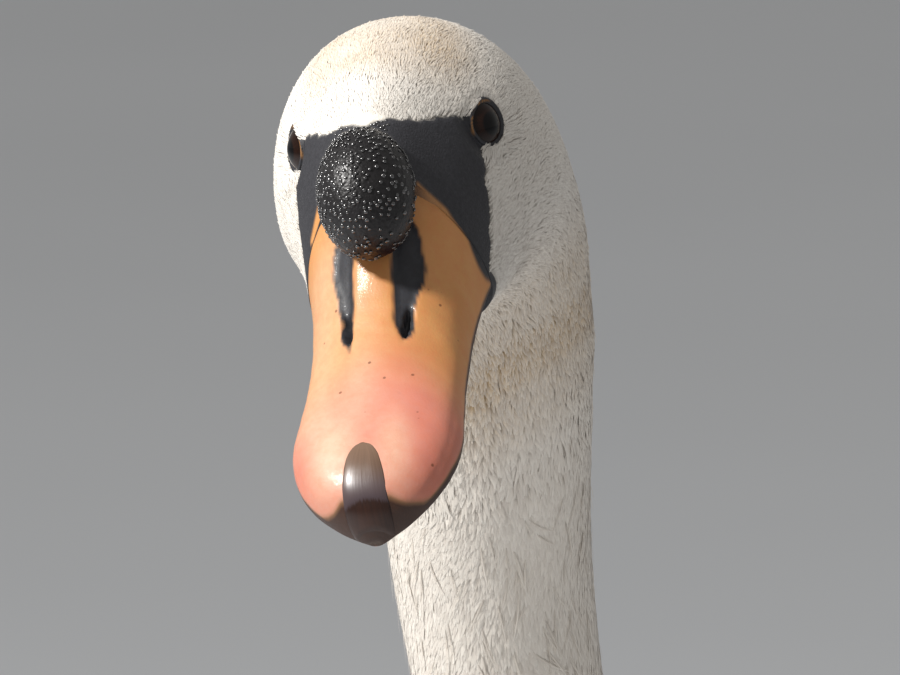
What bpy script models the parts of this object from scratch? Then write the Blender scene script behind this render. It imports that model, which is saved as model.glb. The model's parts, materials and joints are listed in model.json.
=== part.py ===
"""An adult male mute swan at life size, resting on its belly with the neck raised and the feet tucked under.

Frame: metres, +Z up. The bird faces -Y, its left side is +X, and the origin is the middle of the flat that
the belly rests on. Head, neck, trunk and tail are one form, a row of cross-sections from the bill's base to
the tail's tip, parted with thin cuts. The wings, eyes, knob and legs are let into that form.
"""

import math
from collections import namedtuple

import bmesh
import bpy
from mathutils import Matrix, Vector

MM = 0.001

# Driving dimensions.
EYES = Vector((0.0, -0.275, 0.700))  # midway between the eyes, before the head is turned
BILL_DROP = math.radians(27.0)  # the bill's cutting edge below the level
HEAD_TURN = math.radians(-11.7)  # the bill swings to the bird's right
HEAD_ROLL = math.radians(-9.3)  # the crown leans to the bird's right
SWAY_FOOT = 0.36  # height where the neck starts to lean
EYE_RADIUS = 7.2  # millimetres, as all sizes on the head
EYE_CENTRE = 16.3  # from the middle plane
GAP = 0.3 * MM  # left free wherever two pieces meet
FLOOR = 0.0

# A cross-section: its ends in the middle plane, the half width, how far down from the dorsal end it is
# widest (0 to 1), and how full it is above and below that (2 is an ellipse, less is more pointed).
Section = namedtuple("Section", "dorsal ventral half_width widest upper lower")


def on_head(forward, up, side=0.0):
    """A point given in millimetres along the bill, up from it and to the bird's left, from between the eyes."""
    drop, rise = math.sin(BILL_DROP), math.cos(BILL_DROP)
    level = -(forward * rise + up * drop)
    height = up * rise - forward * drop
    return EYES + Vector((side, level, height)) * MM


def head_section(dorsal, ventral, half_width, widest, upper=2.0, lower=2.0, side=0.0):
    return Section(on_head(*dorsal, side), on_head(*ventral, side), half_width * MM, widest, upper, lower)


def body_section(dorsal, ventral, half_width, widest=0.5, upper=2.0, lower=2.0, side=0.0):
    return Section(Vector((side, *dorsal)), Vector((side, *ventral)), half_width, widest, upper, lower)


HEAD = [
    head_section((27, 8), (32, -33), 21.0, 0.74, 1.75, 2.4),
    head_section((18, 15), (24, -37.5), 22.8, 0.70, 1.75, 2.2),
    head_section((8, 18.7), (17, -41), 25.6, 0.66, 1.75, 2.1),
    head_section((-4, 20.0), (12, -44), 29.2, 0.61, 1.8),
    head_section((-16, 18.3), (8.5, -47.5), 31.8, 0.58, 2.0),
    head_section((-28.5, 12.4), (6.5, -51), 32.6, 0.55, 2.1),
    head_section((-38, 2), (5.3, -55.5), 32.6, 0.52, 2.1),
    head_section((-43.5, -12), (4.8, -61), 32.4, 0.51),
    head_section((-45.5, -29), (4.6, -68), 31.6, 0.50),
    head_section((-46, -47), (4.5, -77), 30.2, 0.50, side=-1.0),
    head_section((-45.3, -66), (4.3, -89), 28.2, 0.50, side=-1.6),
]
NECK = [
    head_section((-44.5, -88), (4, -103), 26.0, 0.50, side=-2.6),
    body_section((-0.1746, 0.5944), (-0.2174, 0.5756), 0.0231, side=-0.0054),
    body_section((-0.1605, 0.5446), (-0.2055, 0.5354), 0.0215, side=-0.0045),
    body_section((-0.1530, 0.4900), (-0.2030, 0.4900), 0.0237, side=-0.0030),
    body_section((-0.1546, 0.4348), (-0.2114, 0.4452), 0.0290, side=-0.0012),
    body_section((-0.1575, 0.3860), (-0.2290, 0.4040), 0.0375),
    body_section((-0.1585, 0.3560), (-0.2520, 0.3620), 0.0500),
]
TRUNK = [
    body_section((-0.1550, 0.3360), (-0.2740, 0.3100), 0.0660, 0.52),
    body_section((-0.1440, 0.3280), (-0.2870, 0.2450), 0.0900, 0.52),
    body_section((-0.1260, 0.3260), (-0.2870, 0.1700), 0.1180, 0.52),
    body_section((-0.0980, 0.3290), (-0.2650, 0.0950), 0.1430, 0.52),
    body_section((-0.0580, 0.3370), (-0.2180, 0.0380), 0.1640, 0.51, 2.0, 2.1),
    body_section((-0.0080, 0.3480), (-0.1450, 0.0060), 0.1790, 0.50, 2.0, 2.15),
    body_section((0.0420, 0.3550), (-0.0550, -0.0040), 0.1860, 0.50, 2.0, 2.2),
    body_section((0.1000, 0.3570), (0.0400, -0.0050), 0.1860, 0.50, 2.0, 2.2),
    body_section((0.1580, 0.3510), (0.1220, -0.0020), 0.1780, 0.50, 2.0, 2.15),
    body_section((0.2110, 0.3380), (0.1930, 0.0100), 0.1620, 0.50, 2.0, 2.1),
    body_section((0.2580, 0.3190), (0.2540, 0.0380), 0.1380, 0.50),
    body_section((0.3000, 0.2950), (0.3040, 0.0780), 0.1090, 0.50),
    body_section((0.3380, 0.2680), (0.3450, 0.1230), 0.0800, 0.50),
]
TAIL = [
    body_section((0.3720, 0.2430), (0.3800, 0.1600), 0.0620),
    body_section((0.4050, 0.2270), (0.4100, 0.1860), 0.0610),
    body_section((0.4400, 0.2210), (0.4430, 0.1990), 0.0660, 0.5, 2.4, 2.4),
    body_section((0.4780, 0.2215), (0.4790, 0.2085), 0.0600, 0.5, 2.6, 2.6),
    body_section((0.5120, 0.2245), (0.5125, 0.2165), 0.0400, 0.5, 2.6, 2.6),
    body_section((0.5400, 0.2280), (0.5400, 0.2235), 0.0130, 0.5, 2.6, 2.6),
]
FORM = HEAD + NECK + TRUNK + TAIL
NAPE = len(HEAD) - 1  # the last section that turns with the head as one piece
SHOULDERS = len(HEAD) + len(NECK)
RUMP = SHOULDERS + len(TRUNK)
TAIL_TIP = len(FORM) - 1

BILL_UPPER = [
    head_section((27.3, 7.5), (31.3, -25.0), 20.9, 0.93, 1.75, 3.0),
    head_section((34, 3), (36, -25.4), 19.9, 0.93, 1.8, 3.0),
    head_section((42, -3), (43, -26.0), 18.8, 0.92, 1.85, 3.0),
    head_section((51, -8.6), (53, -26.8), 18.2, 0.90, 1.95, 3.0),
    head_section((62, -12.8), (64, -27.4), 18.2, 0.88, 2.1, 2.8),
    head_section((74, -14.8), (76, -28.0), 18.8, 0.86, 2.3, 2.6),
    head_section((85, -16.4), (86, -29.0), 19.2, 0.84, 2.5, 2.5),
    head_section((94, -18.4), (93.5, -30.4), 17.4, 0.82, 2.5, 2.5),
    head_section((101, -21.6), (99.5, -32.2), 13.6, 0.80, 2.4, 2.4),
    head_section((105, -25.2), (103.5, -33.8), 8.8, 0.78, 2.2, 2.2),
    head_section((107, -29.4), (106, -35.0), 4.2, 0.70, 2.0, 2.0),
    head_section((107.4, -32.4), (106.9, -35.2), 1.8, 0.60, 2.0, 2.0),
]
BILL_LOWER = [
    head_section((31.6, -25.6), (32.6, -33.8), 17.4, 0.10, 2.6, 2.2),
    head_section((44, -26.7), (44, -34.6), 16.4, 0.10, 2.6, 2.2),
    head_section((56, -27.4), (56, -35.0), 16.0, 0.12, 2.6, 2.2),
    head_section((68, -28.0), (68, -35.2), 15.9, 0.15, 2.6, 2.2),
    head_section((80, -28.8), (80, -35.4), 15.7, 0.20, 2.6, 2.2),
    head_section((90, -30.2), (90, -35.8), 13.8, 0.25, 2.6, 2.2),
    head_section((97, -32.0), (97, -36.2), 10.2, 0.30, 2.4, 2.2),
    head_section((101, -33.4), (101, -36.4), 5.8, 0.40, 2.0, 2.0),
]
KNOB_CENTRE = (35.0, 9.0, -1.0)
KNOB_RADII = (15.2, 12.3, 12.0)  # along the forehead, across, and out from it
KNOB_SLOPE = math.radians(34.0)
NAIL_CENTRE = (104.5, -25.0, 0.0)
NAIL_RADII = (13.5, 6.2, 11.5)
NAIL_SLOPE = math.radians(30.0)

# A folded wing across the body: where the section stands, its upper and lower edges as (side, height), and
# how far it bulges outwards and inwards from the line between them.
WingSection = namedtuple("WingSection", "y upper lower outwards inwards")
WING = [
    WingSection(-0.192, (0.106, 0.255), (0.122, 0.205), 0.010, 0.008),
    WingSection(-0.178, (0.086, 0.290), (0.146, 0.172), 0.028, 0.016),
    WingSection(-0.140, (0.056, 0.322), (0.168, 0.152), 0.044, 0.022),
    WingSection(-0.080, (0.029, 0.346), (0.186, 0.141), 0.056, 0.022),
    WingSection(-0.010, (0.014, 0.365), (0.194, 0.139), 0.062, 0.022),
    WingSection(0.070, (0.009, 0.377), (0.194, 0.144), 0.065, 0.022),
    WingSection(0.150, (0.008, 0.377), (0.184, 0.155), 0.063, 0.022),
    WingSection(0.230, (0.008, 0.364), (0.162, 0.170), 0.055, 0.020),
    WingSection(0.300, (0.008, 0.343), (0.134, 0.188), 0.045, 0.018),
    WingSection(0.360, (0.009, 0.320), (0.104, 0.205), 0.034, 0.015),
    WingSection(0.410, (0.011, 0.298), (0.073, 0.224), 0.023, 0.012),
    WingSection(0.445, (0.016, 0.280), (0.047, 0.242), 0.012, 0.008),
]
# The folded hand's long feathers: a narrow blade from under the wing's rear edge to its tip over the tail.
PRIMARIES = [
    WingSection(0.300, (0.108, 0.212), (0.118, 0.182), 0.009, 0.004),
    WingSection(0.350, (0.082, 0.232), (0.098, 0.196), 0.009, 0.004),
    WingSection(0.400, (0.054, 0.248), (0.074, 0.212), 0.008, 0.004),
    WingSection(0.450, (0.027, 0.258), (0.048, 0.228), 0.006, 0.003),
    WingSection(0.485, (0.012, 0.262), (0.028, 0.242), 0.004, 0.003),
    WingSection(0.503, (0.010, 0.262), (0.016, 0.253), 0.002, 0.002),
]

ANKLE = Vector((0.104, 0.196, 0.017))
FOOT_JOINT = Vector((0.112, 0.088, 0.0095))
LEG_PATH = [  # from inside the flank, over the ankle, along the shank to the toes
    (Vector((0.096, 0.156, 0.080)), 12.0),
    (Vector((0.101, 0.186, 0.042)), 10.5),
    (ANKLE, 10.2),
    (Vector((0.106, 0.168, 0.0115)), 7.8),
    (Vector((0.112, 0.124, 0.0095)), 7.0),
    (FOOT_JOINT, 7.8),
]
TOE_LENGTHS = (104.0, 132.0, 126.0)  # inner, middle and outer toe
TOE_SPREAD = math.radians(18.0)
TOE_HEIGHT = 6.5
WEB_HEIGHT = 2.4
CLAW_SHARE = 0.12  # of a toe's length

WHITE = (0.86, 0.84, 0.80)
ORANGE = (0.80, 0.33, 0.10)
BLACK = (0.025, 0.024, 0.026)
BROWN = (0.050, 0.026, 0.016)
GREY = (0.075, 0.075, 0.080)


def material(name, colour, roughness):
    made = bpy.data.materials.new(name)
    made.use_nodes = True
    shader = made.node_tree.nodes["Principled BSDF"]
    shader.inputs["Base Color"].default_value = (*colour, 1.0)
    shader.inputs["Roughness"].default_value = roughness
    shader.inputs["Metallic"].default_value = 0.0
    made.diffuse_color = (*colour, 1.0)
    return made


def between(rows, at):
    """The value at a fractional place in a row of values, on a smooth curve through them all."""
    low = min(int(at), len(rows) - 2)
    share = at - low
    before, here, there, after = (rows[min(max(low + k, 0), len(rows) - 1)] for k in (-1, 0, 1, 2))
    bend = (before * -1 + here * 3 - there * 3 + after) * share**3
    lean = (before * 2 - here * 5 + there * 4 - after) * share**2
    return (bend + lean + (there - before) * share + here * 2) * 0.5


def section_at(sections, at):
    """The cross-section at a fractional place in a row of sections."""
    return Section(*(between([s[k] for s in sections], at) for k in range(len(Section._fields))))


def middle_at(sections, at):
    section = section_at(sections, at)
    return (section.dorsal + section.ventral) / 2


def section_points(section, count):
    """The points round a cross-section, from its dorsal end over the bird's left side and back."""
    points = []
    for k in range(count):
        angle = math.tau * k / count
        above = math.cos(angle)
        power = 2 / (section.upper if above > 0 else section.lower)
        reach = math.copysign(abs(math.sin(angle)) ** power, math.sin(angle))
        rise = abs(above) ** power
        if above > 0:
            share = section.widest * (1 - rise)
        else:
            share = section.widest + (1 - section.widest) * rise
        point = section.dorsal.lerp(section.ventral, share)
        points.append(point + Vector((section.half_width * reach, 0.0, 0.0)))
    return points


def turn_at(at):
    """How the section at this place is turned and swayed: fully up to the nape, then less and less."""
    middle = middle_at(FORM, max(at, NAPE))
    full = middle_at(FORM, NAPE).z - SWAY_FOOT
    share = min(max((middle.z - SWAY_FOOT) / full, 0.0), 1.0)
    sway = Vector((math.tan(HEAD_ROLL) * full / 2 * share**2, 0.0, 0.0))
    turn = Matrix.Rotation(HEAD_ROLL * share, 4, "Y") @ Matrix.Rotation(HEAD_TURN * share**2, 4, "Z")
    return Matrix.Translation(middle + sway) @ turn @ Matrix.Translation(-middle)


HEAD_POSE = turn_at(0)  # carries the whole head, bill and eyes


def add_object(name, bm, finish, smooth=True):
    bmesh.ops.recalc_face_normals(bm, faces=bm.faces)
    mesh = bpy.data.meshes.new(name)
    bm.to_mesh(mesh)
    bm.free()
    mesh.materials.append(finish)
    if smooth:
        mesh.shade_smooth()
        mesh.set_sharp_from_angle(angle=math.radians(40))
    made = bpy.data.objects.new(name, mesh)
    bpy.context.scene.collection.objects.link(made)
    return made


def loft(rings):
    """A closed mesh through rings of points: the first ring is a disc, and its rim is extruded to each next."""
    bm = bmesh.new()
    rim = bmesh.ops.create_circle(bm, cap_ends=True, segments=len(rings[0]), radius=1.0)["verts"]
    for vertex, point in zip(rim, rings[0], strict=True):
        vertex.co = point
    edges = list(bm.edges)
    for ring in rings[1:]:
        grown = bmesh.ops.extrude_edge_only(bm, edges=edges)["geom"]
        new = {g for g in grown if isinstance(g, bmesh.types.BMVert)}
        rim = [next(e.other_vert(v) for e in v.link_edges if e.other_vert(v) in new) for v in rim]
        edges = [e for e in grown if isinstance(e, bmesh.types.BMEdge)]
        for vertex, point in zip(rim, ring, strict=True):
            vertex.co = point
    bmesh.ops.contextual_create(bm, geom=edges)
    return bm


def form_rings(first, last, steps, count):
    """Rings of the body's form between two places, set back by half a gap at a cut."""
    rings = []
    for k in range(steps + 1):
        at = first + (last - first) * k / steps
        spacing = (middle_at(FORM, min(at + 0.1, TAIL_TIP)) - middle_at(FORM, max(at - 0.1, 0))).length / 0.2
        if k == 0 and first > 0:
            at += GAP / 2 / spacing
        if k == steps and last < TAIL_TIP:
            at -= GAP / 2 / spacing
        pose = turn_at(at)
        ring = [pose @ p for p in section_points(section_at(FORM, at), count)]
        rings.append([Vector((p.x, p.y, max(p.z, FLOOR))) for p in ring])
    return rings


def head_rings(sections, steps, count):
    """Rings of a piece that turns with the head, such as the bill."""
    places = [(len(sections) - 1) * k / steps for k in range(steps + 1)]
    return [[HEAD_POSE @ p for p in section_points(section_at(sections, at), count)] for at in places]


def wing_rings(rows, steps, count, side):
    """Rings of a folded wing or of its tip, each standing across the body."""
    rings = []
    for k in range(steps + 1):
        at = (len(rows) - 1) * k / steps
        y, upper, lower, outwards, inwards = (
            between([Vector(row[n]) if n in (1, 2) else row[n] for row in rows], at) for n in range(5)
        )
        chord = lower - upper
        out = Vector((-chord.y, chord.x)).normalized()
        ring = []
        for n in range(count):
            angle = math.tau * n / count
            bulge = math.sin(angle) * (outwards if math.sin(angle) > 0 else inwards)
            place = upper + chord * (1 - math.cos(angle)) / 2 + out * bulge
            ring.append(Vector((side * place.x, y, place.y)))
        rings.append(ring)
    return rings


def tube_rings(path, count):
    """Round rings along a path of places, each with its radius in millimetres."""
    places = [place for place, _ in path]
    rings = []
    for k, (place, radius) in enumerate(path):
        along = (places[min(k + 1, len(path) - 1)] - places[max(k - 1, 0)]).normalized()
        aside = Vector((1.0, 0.0, 0.0)).cross(along).normalized()
        across = along.cross(aside)
        ring = []
        for n in range(count):
            angle = math.tau * n / count
            point = place + (aside * math.cos(angle) + across * math.sin(angle)) * radius * MM
            ring.append(Vector((point.x, point.y, max(point.z, FLOOR))))
        rings.append(ring)
    return rings


def ellipsoid(centre, radii, slope, segments, rounds):
    """An egg on the head: its radii along, across and out from a line that slopes down towards the bill."""
    bm = bmesh.new()
    bmesh.ops.create_uvsphere(bm, u_segments=segments, v_segments=rounds, radius=1.0)
    for vertex in bm.verts:
        along, across, out = (c * r for c, r in zip(vertex.co, radii, strict=True))
        forward = centre[0] + along * math.cos(slope) + out * math.sin(slope)
        up = centre[1] + out * math.cos(slope) - along * math.sin(slope)
        vertex.co = HEAD_POSE @ on_head(forward, up, across + centre[2])
    return bm


def carve(target, cutter):
    """Cuts a piece's shape, swollen by the gap, out of its neighbour."""
    swollen = cutter.copy()
    swollen.data = cutter.data.copy()
    swollen.name = f"{target.name}_less_{cutter.name}"
    for modifier in list(swollen.modifiers):
        swollen.modifiers.remove(modifier)
    bm = bmesh.new()
    bm.from_mesh(swollen.data)
    bm.normal_update()
    shifts = [(vertex, vertex.normal * GAP * 1.15) for vertex in bm.verts]
    for vertex, shift in shifts:
        vertex.co += shift
    bm.to_mesh(swollen.data)
    bm.free()
    bpy.context.scene.collection.objects.link(swollen)
    cut_with(target, swollen, "DIFFERENCE")


def cut_with(target, cutter, operation):
    cutter.hide_render = True
    cutter.display_type = "WIRE"
    boolean = target.modifiers.new(cutter.name, "BOOLEAN")
    boolean.operation = operation
    boolean.solver = "EXACT"
    boolean.object = cutter


def make_body(white):
    """Head, neck, trunk and tail, in the order of the form."""
    cuts = {
        "head": (0, NAPE, 16, 24),
        "neck_upper": (NAPE, NAPE + 2.5, 5, 22),
        "neck_middle": (NAPE + 2.5, NAPE + 5, 5, 22),
        "neck_lower": (NAPE + 5, SHOULDERS - 0.5, 5, 24),
        "trunk": (SHOULDERS - 0.5, RUMP - 0.5, 17, 32),
        "tail": (RUMP - 0.5, TAIL_TIP, 8, 20),
    }
    return {name: add_object(name, loft(form_rings(*cut)), white) for name, cut in cuts.items()}


def make_bill(orange, black):
    upper = add_object("bill_upper", loft(head_rings(BILL_UPPER, 16, 22)), orange)
    lower = add_object("bill_lower", loft(head_rings(BILL_LOWER, 10, 16)), black)
    nail = add_object("nail", loft(head_rings(BILL_UPPER, 16, 22)), black)
    shield = add_object("nail_shield", ellipsoid(NAIL_CENTRE, NAIL_RADII, NAIL_SLOPE, 18, 10), black)
    carve(upper, shield)
    cut_with(nail, shield, "INTERSECT")
    knob = add_object("knob", ellipsoid(KNOB_CENTRE, KNOB_RADII, KNOB_SLOPE, 18, 11), black)
    return upper, lower, nail, knob


def make_eye(name, side, brown):
    ball = ellipsoid((0.0, 0.0, side * EYE_CENTRE), (EYE_RADIUS,) * 3, 0.0, 14, 8)
    return add_object(name, ball, brown)


def make_leg(name, side, grey):
    rings = tube_rings(LEG_PATH, 10)
    return add_object(name, loft([[Vector((side * p.x, p.y, p.z)) for p in ring] for ring in rings]), grey)


def toe_length(across):
    """How far the foot reaches at a place across it: the toes' lengths at -1, 0 and 1, with webs hollowed between."""
    inner, middle, outer = TOE_LENGTHS
    towards = outer if across > 0 else inner
    reach = middle + (towards - middle) * abs(across)
    hollow = math.sin(math.pi * min(abs(across), 1.0)) ** 2
    claw = 1 - CLAW_SHARE * (1 - abs(2 * abs(across) - 1) ** 6)
    return reach * claw * (1 - 0.16 * hollow) * MM


def make_foot(name, side, grey):
    """A webbed foot, folded flat on the floor and pointing forwards: three toes as ridges on one web."""
    bm = bmesh.new()
    bmesh.ops.create_grid(bm, x_segments=12, y_segments=6, size=1.0)
    for vertex in bm.verts:
        across, along = vertex.co.x, (vertex.co.y + 1) / 2
        nearest = min(abs(across), 1 - abs(across)) if abs(across) < 1 else 0.0
        ridge = math.exp(-((nearest / 0.13) ** 2))
        taper = 1 - 0.55 * along
        height = (WEB_HEIGHT + (TOE_HEIGHT - WEB_HEIGHT) * ridge * taper) * MM
        edge = 1 - max(0.0, (along - 0.8) / 0.2) ** 2 * 0.55
        reach = toe_length(across) * along
        half_breadth = 6.5 * MM * (1 - along)
        spread = TOE_SPREAD * across
        vertex.co = Vector((
            side * (FOOT_JOINT.x + math.sin(spread) * reach + across * half_breadth),
            FOOT_JOINT.y - GAP - math.cos(spread) * reach,
            FLOOR + height * edge + (1 - along) ** 3 * 5 * MM,
        ))
    skirt = bmesh.ops.extrude_face_region(bm, geom=bm.faces[:])["geom"]
    for vertex in (g for g in skirt if isinstance(g, bmesh.types.BMVert)):
        vertex.co.z = FLOOR
    return add_object(name, bm, grey)


def make_swan():
    white = material("white_plumage", WHITE, 0.8)
    orange = material("orange_bill", ORANGE, 0.35)
    black = material("black_bare_skin", BLACK, 0.5)
    brown = material("brown_eye", BROWN, 0.05)
    grey = material("grey_leg_skin", GREY, 0.6)
    body = make_body(white)
    bill_upper, _, _, knob = make_bill(orange, black)
    carve(body["head"], knob)
    carve(bill_upper, knob)
    for side, name in ((1, "left"), (-1, "right")):
        eye = make_eye(f"eye_{name}", side, brown)
        carve(body["head"], eye)
        wing = add_object(f"wing_{name}", loft(wing_rings(WING, 16, 20, side)), white)
        primaries = add_object(f"primaries_{name}", loft(wing_rings(PRIMARIES, 8, 10, side)), white)
        carve(primaries, wing)
        carve(body["trunk"], wing)
        carve(body["tail"], wing)
        carve(body["trunk"], primaries)
        carve(body["tail"], primaries)
        leg = make_leg(f"leg_{name}", side, grey)
        carve(body["trunk"], leg)
        make_foot(f"foot_{name}", side, grey)


for leftover in list(bpy.data.objects):
    bpy.data.objects.remove(leftover)
make_swan()
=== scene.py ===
"""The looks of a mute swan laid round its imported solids: skin, eyes, bill, claws and a coat of feathers.

All places are in metres in the frame's own axes: the bird faces -Y, its left side is +X and it rests on
z = 0. Places on the head are given in millimetres forward along the bill, up from it and to the bird's left,
from the point between the eyes.
"""

import json
import math

import bmesh
import bpy
import mathutils
import numpy as np
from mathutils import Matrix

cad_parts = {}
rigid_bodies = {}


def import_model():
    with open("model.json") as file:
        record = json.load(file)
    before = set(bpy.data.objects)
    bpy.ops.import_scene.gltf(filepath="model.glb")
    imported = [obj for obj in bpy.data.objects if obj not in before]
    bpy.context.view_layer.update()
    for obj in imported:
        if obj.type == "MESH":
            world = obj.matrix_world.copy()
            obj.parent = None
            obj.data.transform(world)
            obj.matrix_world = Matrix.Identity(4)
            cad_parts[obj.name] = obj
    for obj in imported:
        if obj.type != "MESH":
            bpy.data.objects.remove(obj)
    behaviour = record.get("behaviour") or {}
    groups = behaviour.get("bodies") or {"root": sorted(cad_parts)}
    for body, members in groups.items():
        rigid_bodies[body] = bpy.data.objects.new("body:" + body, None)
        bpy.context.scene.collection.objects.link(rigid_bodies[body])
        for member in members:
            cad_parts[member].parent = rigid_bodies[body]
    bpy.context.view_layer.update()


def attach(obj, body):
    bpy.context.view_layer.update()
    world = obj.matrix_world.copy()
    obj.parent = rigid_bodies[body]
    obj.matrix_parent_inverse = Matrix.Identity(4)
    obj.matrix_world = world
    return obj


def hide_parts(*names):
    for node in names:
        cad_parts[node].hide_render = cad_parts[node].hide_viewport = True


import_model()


# ---- Skin ----
# The bare body under the feathers: one thin skin over head, neck, trunk, wings and legs, fixed to the flesh.
# It is black and grainy on the lores, grey on the legs, and pale under the coat. Its form is a row of
# cross-sections from the bill's base to the tail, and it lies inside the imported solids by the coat's depth.

MM = 0.001
TURN = 2 * math.pi
SEAM = 2e-6  # points closer than this are one
EYES = np.array((0.0, -0.275, 0.700))
BILL_DROP = math.radians(27.0)
HEAD_TURN = math.radians(-11.7)
HEAD_ROLL = math.radians(-9.3)
SWAY_FOOT = 0.36
FLOOR = 0.0


def on_head(forward, up, side=0.0):
    """Places on the head before it is turned, from millimetres forward, up and to the left."""
    forward, up, side = np.broadcast_arrays(*(np.asarray(v, float) for v in (forward, up, side)))
    level = -(forward * math.cos(BILL_DROP) + up * math.sin(BILL_DROP))
    height = up * math.cos(BILL_DROP) - forward * math.sin(BILL_DROP)
    return EYES + np.stack((side, level, height), -1) * MM


def body_row(dorsal, ventral, half_width, widest=0.5, upper=2.0, lower=2.0, side=0.0):
    """A cross-section: its ends in the middle plane, its half width, where it is widest, its fullness."""
    return [side, *dorsal, *ventral, half_width, widest, upper, lower]


def head_row(dorsal, ventral, half_width, widest, upper=2.0, lower=2.0, side=0.0):
    """A cross-section whose numbers are millimetres on the head."""
    ends = [tuple(on_head(*end)[1:]) for end in (dorsal, ventral)]
    return body_row(*ends, half_width * MM, widest, upper, lower, side * MM)


HEAD = [
    head_row((27, 8), (32, -33), 21.0, 0.74, 1.75, 2.4),
    head_row((18, 15), (24, -37.5), 22.8, 0.70, 1.75, 2.2),
    head_row((8, 18.7), (17, -41), 25.6, 0.66, 1.75, 2.1),
    head_row((-4, 20.0), (12, -44), 29.2, 0.61, 1.8),
    head_row((-16, 18.3), (8.5, -47.5), 31.8, 0.58, 2.0),
    head_row((-28.5, 12.4), (6.5, -51), 32.6, 0.55, 2.1),
    head_row((-38, 2), (5.3, -55.5), 32.6, 0.52, 2.1),
    head_row((-43.5, -12), (4.8, -61), 32.4, 0.51),
    head_row((-45.5, -29), (4.6, -68), 31.6, 0.50),
    head_row((-46, -47), (4.5, -77), 30.2, 0.50, side=-1.0),
    head_row((-45.3, -66), (4.3, -89), 28.2, 0.50, side=-1.6),
]
NECK = [
    head_row((-44.5, -88), (4, -103), 26.0, 0.50, side=-2.6),
    body_row((-0.1746, 0.5944), (-0.2174, 0.5756), 0.0231, side=-0.0054),
    body_row((-0.1605, 0.5446), (-0.2055, 0.5354), 0.0215, side=-0.0045),
    body_row((-0.1530, 0.4900), (-0.2030, 0.4900), 0.0237, side=-0.0030),
    body_row((-0.1546, 0.4348), (-0.2114, 0.4452), 0.0290, side=-0.0012),
    body_row((-0.1575, 0.3860), (-0.2290, 0.4040), 0.0375),
    body_row((-0.1585, 0.3560), (-0.2520, 0.3620), 0.0500),
]
TRUNK = [
    body_row((-0.1550, 0.3360), (-0.2740, 0.3100), 0.0660, 0.52),
    body_row((-0.1440, 0.3280), (-0.2870, 0.2450), 0.0900, 0.52),
    body_row((-0.1260, 0.3260), (-0.2870, 0.1700), 0.1180, 0.52),
    body_row((-0.0980, 0.3290), (-0.2650, 0.0950), 0.1430, 0.52),
    body_row((-0.0580, 0.3370), (-0.2180, 0.0380), 0.1640, 0.51, 2.0, 2.1),
    body_row((-0.0080, 0.3480), (-0.1450, 0.0060), 0.1790, 0.50, 2.0, 2.15),
    body_row((0.0420, 0.3550), (-0.0550, -0.0040), 0.1860, 0.50, 2.0, 2.2),
    body_row((0.1000, 0.3570), (0.0400, -0.0050), 0.1860, 0.50, 2.0, 2.2),
    body_row((0.1580, 0.3510), (0.1220, -0.0020), 0.1780, 0.50, 2.0, 2.15),
    body_row((0.2110, 0.3380), (0.1930, 0.0100), 0.1620, 0.50, 2.0, 2.1),
    body_row((0.2580, 0.3190), (0.2540, 0.0380), 0.1380),
    body_row((0.3000, 0.2950), (0.3040, 0.0780), 0.1090),
    body_row((0.3380, 0.2680), (0.3450, 0.1230), 0.0800),
]
TAIL = [
    body_row((0.3720, 0.2430), (0.3800, 0.1600), 0.0620),
    body_row((0.4050, 0.2270), (0.4100, 0.1860), 0.0610),
    body_row((0.4400, 0.2210), (0.4430, 0.1990), 0.0660, 0.5, 2.4, 2.4),
    body_row((0.4780, 0.2215), (0.4790, 0.2085), 0.0600, 0.5, 2.6, 2.6),
    body_row((0.5120, 0.2245), (0.5125, 0.2165), 0.0400, 0.5, 2.6, 2.6),
    body_row((0.5400, 0.2280), (0.5400, 0.2235), 0.0130, 0.5, 2.6, 2.6),
]
FORM = np.array(HEAD + NECK + TRUNK + TAIL)
NAPE = len(HEAD) - 1
TAIL_TIP = len(FORM) - 1


def along(rows, at):
    """The row at fractional places, on a smooth curve through all the rows."""
    at = np.asarray(at, float)
    low = np.clip(at.astype(int), 0, len(rows) - 2)
    share = (at - low)[..., None]
    before, here, there, after = (rows[np.clip(low + k, 0, len(rows) - 1)] for k in (-1, 0, 1, 2))
    bend = (3 * here - before - 3 * there + after) * share**3
    lean = (2 * before - 5 * here + 4 * there - after) * share**2
    return (bend + lean + (there - before) * share + 2 * here) / 2


def round_section(row, angle):
    """The place on a cross-section at an angle from its dorsal end, over the bird's left side."""
    side, top_y, top_z, low_y, low_z, half_width, widest, upper, lower = np.moveaxis(row, -1, 0)
    above = np.cos(angle)
    power = 2 / np.where(above > 0, upper, lower)
    reach = np.sign(np.sin(angle)) * np.abs(np.sin(angle)) ** power
    rise = np.abs(above) ** power
    share = np.where(above > 0, widest * (1 - rise), widest + (1 - widest) * rise)
    y, z = top_y + (low_y - top_y) * share, top_z + (low_z - top_z) * share
    return np.stack((side + half_width * reach, y, z), -1)


def rotated(points, first, second, angle):
    """Points turned by an angle in the plane of two axes."""
    turned = points.copy()
    turned[..., first] = points[..., first] * np.cos(angle) - points[..., second] * np.sin(angle)
    turned[..., second] = points[..., first] * np.sin(angle) + points[..., second] * np.cos(angle)
    return turned


def lean_at(at):
    """Where a section turns, how much of the head's turn it has, and how far it sways to the side."""
    row = along(FORM, np.maximum(at, NAPE))
    middle = np.stack((row[..., 0], (row[..., 1] + row[..., 3]) / 2, (row[..., 2] + row[..., 4]) / 2), -1)
    full = (FORM[NAPE, 2] + FORM[NAPE, 4]) / 2 - SWAY_FOOT
    share = np.clip((middle[..., 2] - SWAY_FOOT) / full, 0, 1)
    return middle, share, math.tan(HEAD_ROLL) * full / 2 * share**2


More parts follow.
